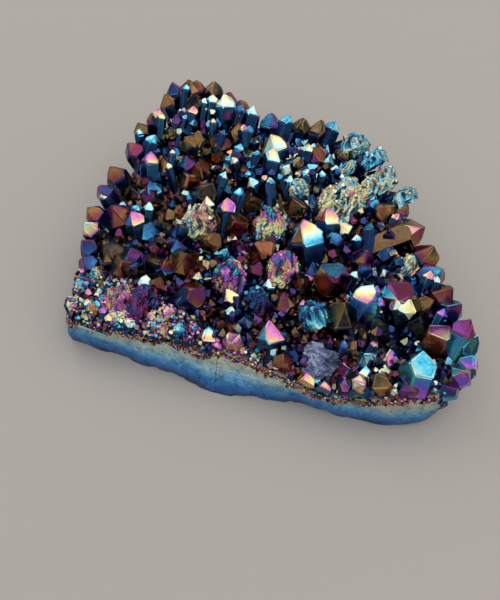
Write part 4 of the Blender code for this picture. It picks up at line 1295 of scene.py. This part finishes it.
def add_etched_dome(heap, chance, sphere, tip, width, axes, coat, foot, bright):
    """An etched crystal: rounded faces, crumpled into ridges that run up to the tip, with painted shade low
    down and in the grooves.
    """
    units, faces = sphere
    half = width * DOME_WIDTH
    seed = Vector((chance.uniform(0.0, 90.0), chance.uniform(0.0, 90.0), chance.uniform(0.0, 90.0)))
    middle = tip - axes.col[2] * half
    is_ridge = tip.x > RIDGES_FROM[0] and tip.y > RIDGES_FROM[1]
    turned = RIDGE_STRETCH @ axes if is_ridge else axes
    corners, films, shades = [], [], []
    for unit in units:
        push = sum(max(unit.dot(normal) / reach, 0.0) ** DOME_POWER for normal, reach in DOME_PLANES)
        radius = half * push ** (-1.0 / DOME_POWER)
        bent = unit * 1.3 + noise.noise_vector(unit * 1.3 + seed) * 0.32
        streak = Vector((bent.x * 1.8, bent.y * 1.8, bent.z * 0.4)) + seed
        ridge = noise.ridged_multi_fractal(streak * 1.2, 0.8, 2.3, 4, 1.0, 2.0)
        broad = noise.noise(unit * 1.5 + seed)
        radius += half * (0.15 * ridge + 0.14 * broad - 0.2)
        place = middle + turned @ (unit * radius)
        corners.append(place)
        down = (tip.z - place.z) / half
        films.append(coat + (foot - coat) * down * 0.8 + 0.14 * broad + 0.06 * (ridge - 1.2))
        # painted shade: darker down the dome and in the grooves between its ridges
        shades.append(bright * smooth_step(1.35 - 0.75 * down) * smooth_step(0.65 * ridge - 0.12))
    heap.add_surface(numpy.array(corners), faces, numpy.array(films), numpy.array(shades))
    tips = [number for number, unit in enumerate(units) if unit.z > 0.15]
    shape = CrystalShape(1.0, 1.2, (0.3, 0.7, 0.5))
    for number in chance.sample(tips, int(DOME_TIPS * width)):
        lit, _ = small_crystal(chance, tip.x, tip.y, 1.0, 30.0)
        film = films[number] + chance.uniform(-0.04, 0.06)
        size = chance.uniform(0.7, 1.5)
        top = corners[number] + lit.col[2] * size * 0.3
        heap.add(shape, top, lit, film, film - 0.04, any_shifts(chance, 0.05), size)


def add_small_tips(heap, chance, tip, width, axes, coat, foot):
    """Break a crystal up into small tips that all grow alongside its own axis."""
    half = width / 2.0
    shape = CrystalShape(1.0, 3.0, (0.3, 0.6, 0.4))
    count = max(int(math.pi * (half * TIP_REACH / TIP_SPACING) ** 2 * 1.7), 7)
    for number in range(count):
        out = math.sqrt((number + 0.3) / count) * TIP_REACH
        turn = number * GOLDEN_TURN + chance.uniform(-0.25, 0.25)
        unit = Vector((math.cos(turn), math.sin(turn), 0.0))
        lump = noise.noise(tip + unit * (out * half * 0.7))
        fall = TIP_FALL * out ** 2.4 + max(out - 0.9, 0.0) * 2.6 - 0.16 * lump
        local = unit * (out * half) + Vector((0.0, 0.0, -half * (fall + chance.uniform(-0.03, 0.10))))
        fan = Vector((unit.x * 0.22 * out ** 2, unit.y * 0.22 * out ** 2, 1.0)).normalized()
        fanned = Vector((0.0, 0.0, 1.0)).rotation_difference(fan).to_matrix()
        jitter = axes_from_lean(chance.uniform(0.0, 360.0), chance.uniform(0.0, 5.0), 0.0)
        film = coat + (foot - coat) * min(fall * 0.9, 1.2) + 0.22 * lump + chance.uniform(-0.04, 0.04)
        grown = axes @ fanned @ jitter
        size = chance.uniform(*TIP_WIDTH)
        place = tip + axes @ local
        if edge_distance(place.x, place.y) < 0.8 and place.y < -25.0:
            continue
        heap.add(shape, place, grown, film, film - 0.06, any_shifts(chance, 0.06), size, length=TIP_LENGTH)


def add_satellites(heap, chance, shapes, tip, width, axes, count):
    """Small crystals that grow out of the sides of a larger one."""
    for _ in range(count):
        turn = chance.uniform(0.0, 360.0)
        outward = axes @ direction(turn, 90.0)
        size = min(chance.uniform(*SATELLITE_WIDTH) * width, SATELLITE_WIDEST)
        place = tip - axes.col[2] * chance.uniform(0.8, 1.9) * width + outward * (width / 2.0)
        own, coat = small_crystal(chance, place.x, place.y, 0.35, 30.0)
        if outward.z < -0.25 or place.z < bed_height(place.x, place.y) + 0.5:
            continue
        if edge_distance(place.x, place.y) < (2.0 if place.y < -30.0 else 0.0):
            continue
        top = place + own.col[2] * size * 0.9 + outward * size * 0.2
        if (top - tip).dot(axes @ direction(0.0, PYRAMID_ANGLE)) > -0.8 * size:
            continue
        shifts = any_shifts(chance, 0.08)
        # satellites drawn at 0.85, a painted shade
        heap.add(chance.choice(shapes), top, own, coat, coat - 0.08, shifts, size, 0.85, size * 2.0)


def place_on(chance, plan):
    """A random place on a part of the plan."""
    return chance.uniform(*plan[0]), chance.uniform(*plan[1])


def scatter(chance, taken, tries, widths, spread, wanted):
    """Random places on the bed, each with a width, that keep clear of those already taken."""
    found = []
    for _ in range(tries):
        x, y = place_on(chance, FILL_PLAN)
        width = chance.uniform(*widths)
        if edge_distance(x, y) < 0.0 or patch_share(x, y) < 1.0 or not wanted(x, y):
            continue
        if all(math.hypot(x - px, y - py) > spread * (width + pw) for px, py, pw in taken):
            taken.append((x, y, width))
            found.append((x, y, width))
    return found


def is_warm(x, y):
    """Whether a place is in the front left corner or on the front rim, where the coat is warm."""
    return in_low_druse(x, y) or edge_distance(x, y) < FRONT_RIM[0] and y < FRONT_RIM[1]


def region_coat(chance, x, y):
    """Coat value that suits a place, alike for places near to each other."""
    if is_warm(x, y):
        choices = WARM_COATS
    elif y > 0.0 and x < LEFT_OF:
        choices = LEFT_COATS
    elif y > FAR_BEHIND:
        choices = BACK_COATS
    elif x > RIGHT_OF:
        choices = RIGHT_COATS
    else:
        choices = MIDDLE_COATS
    drift = noise.noise(Vector((x * 0.16, y * 0.16, 4.0))) * 0.8 + 0.5 + chance.uniform(-0.22, 0.22)
    return choices[int(drift * len(choices)) % len(choices)]


def solid_places():
    """Places of the crystals that the solid carries from its lists."""
    return [row[:2] + (row[3],) for row in FACING_CRYSTALS + FREE_CRYSTALS]


class CLUSTER_OT_fill(bpy.types.Operator):
    """Build the middling crystals between the large ones"""

    bl_idname = "cluster.fill"
    bl_label = "Middling crystals"

    def execute(self, context):
        settings = context.scene.cluster
        heap, corner = Heap(), Heap()
        colours = random.Random(SEED + 6)
        small_shapes = shared_shapes(colours, 2.4)
        taken = solid_places()
        for tip, width, axes in self.fill_rows(taken):
            length = root_length(tip, axes.col[2], width)
            small = [colours.uniform(0.0, 0.7) for _ in range(3)]
            rim, step = colours.uniform(0.12, 0.26), colours.uniform(-0.04, 0.07)
            bevel = wear(tip.y, settings.edge_bevel) * 0.8
            shape = CrystalShape(width, length, small, bevel, wall_cuts(tip, axes), rim, step)
            coat = region_coat(colours, tip.x, tip.y)
            foot = coat + colours.uniform(-0.12, 0.06)
            # painted light and shade: middling crystals at the back at full brightness, those in front
            # darker
            bright = 1.0 if tip.y > WORN_AND_LIGHTER_BEHIND else 0.85
            heap.add(shape, tip, axes, coat, foot, any_shifts(colours, 0.10), shade=bright)
            add_satellites(heap, colours, small_shapes, tip, width, axes, 3)
        for tip, width, axes in self.corner_rows(taken):
            lit, coat = small_crystal(colours, tip.x, tip.y, 0.6, 30.0)
            add_small_tips(corner, colours, tip, width * 1.1, lit, coat, coat - 0.1)
        material = coat_material("middling_coat", settings, settings.clean_dullness, 0.9, 0.09)
        belong(heap.build("middling_crystals", material))
        rough = coat_material("corner_coat", settings, settings.etched_dullness, 1.2, 0.14)
        belong(corner.build("corner_crystals", rough))
        return {"FINISHED"}

    def fill_rows(self, taken):
        """Crystals between the placed ones, leaning outwards along the slab's edge."""
        chance = random.Random(SEED + 1)
        rows = []
        places = scatter(
            chance, taken, FILL_TRIES, FILL_WIDTH, FILL_SPREAD, lambda x, y: not in_low_druse(x, y))
        for x, y, width in places:
            room = edge_distance(x, y)
            lean = chance.uniform(*FILL_LEAN)
            heading = chance.uniform(0.0, 360.0)
            if room < FILL_EDGE_REACH:
                lean += FILL_EDGE_LEAN * (1.0 - room / FILL_EDGE_REACH)
                heading = math.degrees(math.atan2(y - SLAB_MIDDLE[1], x - SLAB_MIDDLE[0]))
            tip = Vector((x, y, bed_height(x, y) + chance.uniform(*FILL_RISE)))
            rows.append((tip, width, axes_from_lean(heading, lean, chance.uniform(0.0, 120.0))))
        return rows

    def corner_rows(self, taken):
        """Short stout crystals of the front left corner."""
        chance = random.Random(SEED + 3)
        rows = []
        places = scatter(chance, taken, CORNER_TRIES, CORNER_WIDTH, CORNER_SPREAD, in_low_druse)
        for x, y, width in places:
            tip = Vector((x, y, bed_height(x, y) + chance.uniform(*CORNER_RISE)))
            lean = chance.uniform(*CORNER_LEAN)
            axes = axes_from_lean(chance.uniform(0.0, 360.0), lean, chance.uniform(0.0, 120.0))
            rows.append((tip, width, axes))
        return rows


def shared_shapes(chance, length):
    """A few unit crystals to draw small ones from."""
    return [
        CrystalShape(1.0, length, [chance.uniform(0.0, 0.9) for _ in range(3)])
        for _ in range(SHAPE_KINDS)
    ]


def small_crystal(chance, x, y, lit_share, most_lean):
    """Axes and coat of a small crystal, lit ones with a face that looks east or west."""
    if chance.random() < lit_share:
        look = chance.choice(("east", "east", "west"))
        wobble = axes_from_lean(chance.uniform(0.0, 360.0), chance.uniform(0.0, 7.0), 0.0)
        heading = LOOKS[look][0] + 180.0 + chance.uniform(-90.0, 90.0)
        axes = wobble @ axes_from_face(look, heading)
        # crystals that catch light draw bright, pale coats: a painted highlight over their real reflection
        return axes, chance.choice(WARM_LIT_COATS if is_warm(x, y) else LIT_COATS)
    lean = chance.uniform(0.0, most_lean)
    axes = axes_from_lean(chance.uniform(0.0, 360.0), lean, chance.uniform(0.0, 120.0))
    return axes, region_coat(chance, x, y) + chance.uniform(-0.03, 0.03)


def any_shifts(chance, spread):
    """Random differences between the coats of a crystal's six sides."""
    return [chance.uniform(-spread, spread) for _ in range(6)]


def height_cap(large, x, y):
    """Greatest tip height at a place that leaves the faces of the large crystals in view."""
    near = [row for row in large if math.dist(row[0].xy, (x, y)) < FACE_REACH * row[1]]
    return min((tip.z - FACE_FALL * width for tip, width in near), default=math.inf)


class CLUSTER_OT_young(bpy.types.Operator):
    """Build the young crystals that stand in the gaps between the large ones"""

    bl_idname = "cluster.young"
    bl_label = "Young crystals"

    def execute(self, context):
        settings = context.scene.cluster
        chance = random.Random(SEED + 8)
        shapes = shared_shapes(chance, 3.0)
        spread = spread_between(0.8)
        spread.take(*LYING_BODY)
        large = [(tip, width) for tip, width, *_ in placed_rows() if width > LARGE_FROM]
        heap = Heap()
        for _ in range(settings.young_tries):
            x, y = place_on(chance, YOUNG_PLAN)
            room = edge_distance(x, y)
            if room < 1.0 or in_low_druse(x, y) or patch_share(x, y) < 0.92:
                continue
            width = chance.triangular(*YOUNG_WIDTH)
            if not spread.is_free(x, y, width, YOUNG_SPREAD):
                continue
            rise = chance.uniform(*(YOUNG_RISE if y > YOUNG_FRONT else YOUNG_RISE_IN_FRONT))
            rise += YOUNG_RISE_AT_BACK * smooth_step(y / 30.0)
            tip = Vector((x, y, bed_height(x, y) + rise * min(0.4 + room / 8.0, 1.0)))
            tip.z = min(tip.z, height_cap(large, x, y))
            far = y > FAR_BEHIND
            axes, coat = small_crystal(chance, x, y, 0.60 if far else 0.20, 28.0)
            length = root_length(tip, axes.col[2], width)
            foot = tip - axes.col[2] * length
            if edge_distance(foot.x, foot.y) < width * 0.6:
                continue
            spread.take(x, y, width)
            fade = coat + chance.uniform(-0.12, 0.02)
            shifts = any_shifts(chance, 0.10)
            # painted shade: young crystals in the gaps darker in front than at the back
            shade = 0.95 if far else 0.75
            heap.add(chance.choice(shapes), tip, axes, coat, fade, shifts, width, shade, length)
        for tip, width, axes, *_ in placed_rows():
            if plan_key(tip) not in FACE_COATS:
                count = 5 if width > LARGE_FROM else 3
                add_satellites(heap, chance, shapes, tip, width, axes, count)
        material = coat_material("young_coat", settings, settings.clean_dullness, 0.8, 0.09)
        belong(heap.build("young_crystals", material))
        return {"FINISHED"}


class CLUSTER_OT_druse(bpy.types.Operator):
    """Build the fine druse in the gaps, in the front left corner and along the rim"""

    bl_idname = "cluster.druse"
    bl_label = "Fine druse"

    def execute(self, context):
        settings = context.scene.cluster
        chance = random.Random(SEED + 7)
        shapes = shared_shapes(chance, 2.2)
        spread = spread_between(0.5)
        heap = Heap()
        for _ in range(settings.druse_tries):
            x, y = place_on(chance, DRUSE_PLAN)
            room = edge_distance(x, y)
            if room < 0.0 or patch_share(x, y) < 0.80:
                continue
            warm = is_warm(x, y)
            far = x < RIDGES_FROM[0] and y > FAR_BEHIND
            width = chance.triangular(*WARM_DRUSE_WIDTH) if warm else chance.uniform(*DRUSE_WIDTH)
            if room < DRUSE_EDGE:
                width *= 0.6
            if not spread.is_free(x, y, width, WARM_DRUSE_SPREAD if warm else DRUSE_SPREAD):
                continue
            rise = chance.uniform(0.4, 1.1) * width
            if not warm:
                rise += chance.uniform(0.0, 1.6) + (1.2 if far else 0.0)
            drop = SHOULDER * smooth_step(1.0 - room / DRUSE_EDGE) + 0.2
            tip = Vector((x, y, bed_height(x, y) + rise - drop))
            lit_share = 0.55 if warm else 0.35 if far else 0.12
            axes, coat = small_crystal(chance, x, y, lit_share, 40.0)
            length = (rise + 1.2) / axes.col[2].z
            foot = tip - axes.col[2] * length
            if edge_distance(foot.x, foot.y) < width * 0.4:
                continue
            spread.take(x, y, width)
            # painted shade: druse in the gaps darker, least in the warm corner and at the back
            shade = 1.0 if warm else 0.9 if far else 0.6
            shifts = any_shifts(chance, 0.06)
            heap.add(chance.choice(shapes), tip, axes, coat, coat - 0.05, shifts, width, shade, length)
        corner, sides = Heap(), Heap()
        self.add_corner_druse(corner, chance, shapes, settings.corner_tries)
        self.add_wall_druse(sides, chance, shapes, settings.wall_druse_count)
        self.add_highlight_shards(sides, chance)
        material = coat_material("druse_coat", settings, settings.clean_dullness, 0.8, 0.10)
        belong(heap.build("fine_druse", material))
        belong(sides.build("wall_druse", material))
        dull = coat_material("corner_druse_coat", settings, settings.etched_dullness + 0.10, 1.2, 0.12)
        belong(corner.build("corner_druse", dull))
        return {"FINISHED"}

    def add_corner_druse(self, heap, chance, shapes, tries):
        """Close-set tiny crystals over the lumpy front left corner."""
        spread = Spread()
        for _ in range(tries):
            x, y = place_on(chance, CORNER_PLAN)
            width = chance.triangular(*CORNER_DRUSE_WIDTH)
            if not in_low_druse(x, y) or edge_distance(x, y) < 0.2:
                continue
            if not spread.is_free(x, y, width, 0.30):
                continue
            spread.take(x, y, width)
            lump = noise.noise(Vector((x * 0.45, y * 0.45, 2.0)))
            tip = Vector((x, y, bed_height(x, y) + 0.9 + 1.3 * lump + chance.uniform(0.0, 0.6)))
            tip.z -= SHOULDER * smooth_step(1.0 - edge_distance(x, y) / DRUSE_EDGE)
            axes, coat = small_crystal(chance, x, y, 0.6, 45.0)
            shifts = any_shifts(chance, 0.08)
            shape = chance.choice(shapes)
            heap.add(shape, tip, axes, coat, coat - 0.05, shifts, width, length=CORNER_DRUSE_LENGTH)

    def add_highlight_shards(self, heap, chance):
        """Pale glossy splinters along the top of the front wall, placed as painted highlights of its edge.
        """
        for start, end, width in WALL_HIGHLIGHT_SHARDS:
            axis = (Vector(start) - Vector(end)).normalized()
            side = axis.cross(Vector((0.0, 0.0, 1.0))).normalized()
            axes = Matrix((side, axis.cross(side), axis)).transposed()
            length = math.dist(start, end)
            shape = CrystalShape(width, length, (0.2, 0.6, 0.4))
            # pale coat as painted highlight, sides at half brightness as painted shade
            own = [(face, True, 0.66, 0.64, 0.0, 0.5) for face in range(6)]
            heap.add(shape, Vector(start), axes, 0.66, 0.66, any_shifts(chance, 0.02), own=own)

    def add_wall_druse(self, heap, chance, shapes, count):
        """Tiny crystals on the upper part of the slab's sides, deeper at the back than in front."""
        for _ in range(count):
            share = chance.random()
            here, ahead = edge_point(share), edge_point(share + 0.004)
            thick = 0.5 + 0.9 * noise.noise(Vector((here.x * 0.22, here.y * 0.22, 9.0)))
            if chance.random() > thick:
                continue
            along = (ahead - here).normalized()
            outward = Vector((along.y, -along.x, 0.0))
            is_front = here.y < FRONT_BELOW
            top = bed_height(here.x, here.y) - SHOULDER
            drop = chance.random() ** 2 * (RIM_DRUSE_DEPTH * thick if is_front else WALL_DRUSE_DEPTH)
            width = chance.triangular(*(RIM_DRUSE_WIDTH if is_front else WALL_DRUSE_WIDTH))
            out = wall_spread(here.x, here.y, drop / top) + chance.uniform(0.1, 0.5)
            place = Vector((here.x, here.y, top - drop + 0.5)) + outward * out
            heading = math.degrees(math.atan2(outward.y, outward.x)) + chance.uniform(-50.0, 50.0)
            axes = axes_from_lean(heading, chance.uniform(20.0, 70.0), chance.uniform(0.0, 120.0))
            coat = chance.choice(RIM_COATS if is_front else MIDDLE_COATS)
            shifts = any_shifts(chance, 0.05)
            heap.add(chance.choice(shapes), place, axes, coat, coat, shifts, width)


class CLUSTER_OT_bare_patch(bpy.types.Operator):
    """Build the bare patch of broken quartz near the front edge"""

    bl_idname = "cluster.bare_patch"
    bl_label = "Bare patch"

    def execute(self, context):
        noise.seed_set(SWIRL_SEED)
        bm = bmesh.new()
        bmesh.ops.create_icosphere(bm, subdivisions=6, radius=1.0)
        layer = bm.verts.layers.float.new("paleness")
        base = Vector((*BARE_PATCH_AT, bed_height(*BARE_PATCH_AT) - SHOULDER))
        for vert in bm.verts:
            unit = vert.co.copy()
            swirl = unit * 1.7 + noise.noise_vector(unit * 1.9) * 0.8
            broad = noise.fractal(unit * 2.4, 0.8, 2.0, 4)
            fibre = noise.ridged_multi_fractal(swirl * 1.5, 0.8, 2.2, 5, 1.0, 2.0)
            # pale fibres and mottle of the quartz, and a painted shade darker towards +X
            vert[layer] = min(max(0.30 * fibre + 0.20 * broad - 0.26 * unit.x, 0.0), 1.0)
            vert.co = Vector(BARE_PATCH_SIZE) * unit * (0.84 + 0.22 * broad + 0.05 * fibre) + base
        belong(show(mesh_from(bm, "bare_patch"), bare_material()))
        return {"FINISHED"}


# --- Studio --------------------------------------------------------------------------------------

def add_lamp(name, facts, glow):
    """An area lamp of a given radiance that looks at the cluster."""
    azimuth, elevation, distance, width, height, colour = facts
    data = bpy.data.lights.new(name, "AREA")
    data.shape = "RECTANGLE"
    data.size, data.size_y = width, height
    data.energy = glow * math.pi * width * height
    data.color = colour
    item = bpy.data.objects.new(name, data)
    back = direction(azimuth, 90.0 - elevation)
    item.location = back * distance
    item.rotation_mode = "QUATERNION"
    item.rotation_quaternion = back.to_track_quat("Z", "Y")
    bpy.context.scene.collection.objects.link(item)


class CLUSTER_OT_studio(bpy.types.Operator):
    """Build the floor, the lamps and the camera"""

    bl_idname = "cluster.studio"
    bl_label = "Studio"

    def execute(self, context):
        scene = context.scene
        settings = scene.studio
        bm = bmesh.new()
        bmesh.ops.create_grid(bm, x_segments=1, y_segments=1, size=FLOOR_HALF)
        floor = show(mesh_from(bm, "floor"), floor_material(settings))
        add_lamp("key_lamp", KEY_LAMP, settings.key_glow)
        add_lamp("side_lamp", SIDE_LAMP, settings.side_glow)
        add_lamp("ceiling_lamp", CEILING_LAMP, settings.ceiling_glow)
        add_lamp("front_lamp", FRONT_LAMP, settings.front_glow)
        world = bpy.data.worlds.new("room")
        world.use_nodes = True
        background = world.node_tree.nodes["Background"]
        background.inputs["Color"].default_value = ROOM_COLOUR
        background.inputs["Strength"].default_value = settings.room_glow
        scene.world = world
        scene.view_settings.view_transform = "Standard"
        self.add_camera(scene, settings)
        return {"FINISHED"}

    def add_camera(self, scene, settings):
        """Camera in front of the wall, looking down at the cluster."""
        azimuth, elevation = settings.camera_azimuth, settings.camera_elevation
        back = Vector((
            math.sin(azimuth) * math.cos(elevation), -math.cos(azimuth) * math.cos(elevation),
            math.sin(elevation)))
        data = bpy.data.cameras.new("camera")
        data.sensor_width = CAMERA_LENS
        data.lens = CAMERA_LENS
        data.clip_start = 0.005
        camera = bpy.data.objects.new("camera", data)
        camera.location = Vector(CAMERA_TARGET) * MM + back * settings.camera_distance
        camera.rotation_mode = "QUATERNION"
        camera.rotation_quaternion = (-back).to_track_quat("-Z", "Y")
        scene.collection.objects.link(camera)
        scene.camera = camera


# --- Add-on --------------------------------------------------------------------------------------

STEPS = (
    "cluster.matrix", "cluster.crystals", "cluster.fill", "cluster.young", "cluster.druse",
    "cluster.bare_patch", "cluster.studio",
)


class CLUSTER_PT_panel(bpy.types.Panel):
    """Lists the cluster's build steps and settings"""

    bl_idname = "CLUSTER_PT_panel"
    bl_label = "Aura Quartz Cluster"
    bl_space_type = "VIEW_3D"
    bl_region_type = "UI"
    bl_category = "Cluster"

    def draw(self, context):
        column = self.layout.column()
        for step in STEPS:
            column.operator(step)
        for group in (context.scene.cluster, context.scene.studio):
            box = self.layout.box()
            for name in group.__annotations__:
                box.prop(group, name)


CLASSES = (
    ClusterSettings, StudioSettings, CLUSTER_OT_matrix, CLUSTER_OT_crystals, CLUSTER_OT_fill,
    CLUSTER_OT_young, CLUSTER_OT_druse, CLUSTER_OT_bare_patch, CLUSTER_OT_studio, CLUSTER_PT_panel,
)


def register():
    """Register the classes and the scene's settings."""
    for item in CLASSES:
        bpy.utils.register_class(item)
    bpy.types.Scene.cluster = bpy.props.PointerProperty(type=ClusterSettings)
    bpy.types.Scene.studio = bpy.props.PointerProperty(type=StudioSettings)


def unregister():
    """Undo register."""
    del bpy.types.Scene.studio
    del bpy.types.Scene.cluster
    for item in reversed(CLASSES):
        bpy.utils.unregister_class(item)


def main():
    """Build the cluster and its studio."""
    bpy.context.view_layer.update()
    register()
    for step in STEPS:
        family, name = step.split(".")
        getattr(getattr(bpy.ops, family), name)()


if __name__ == "__main__":
    main()
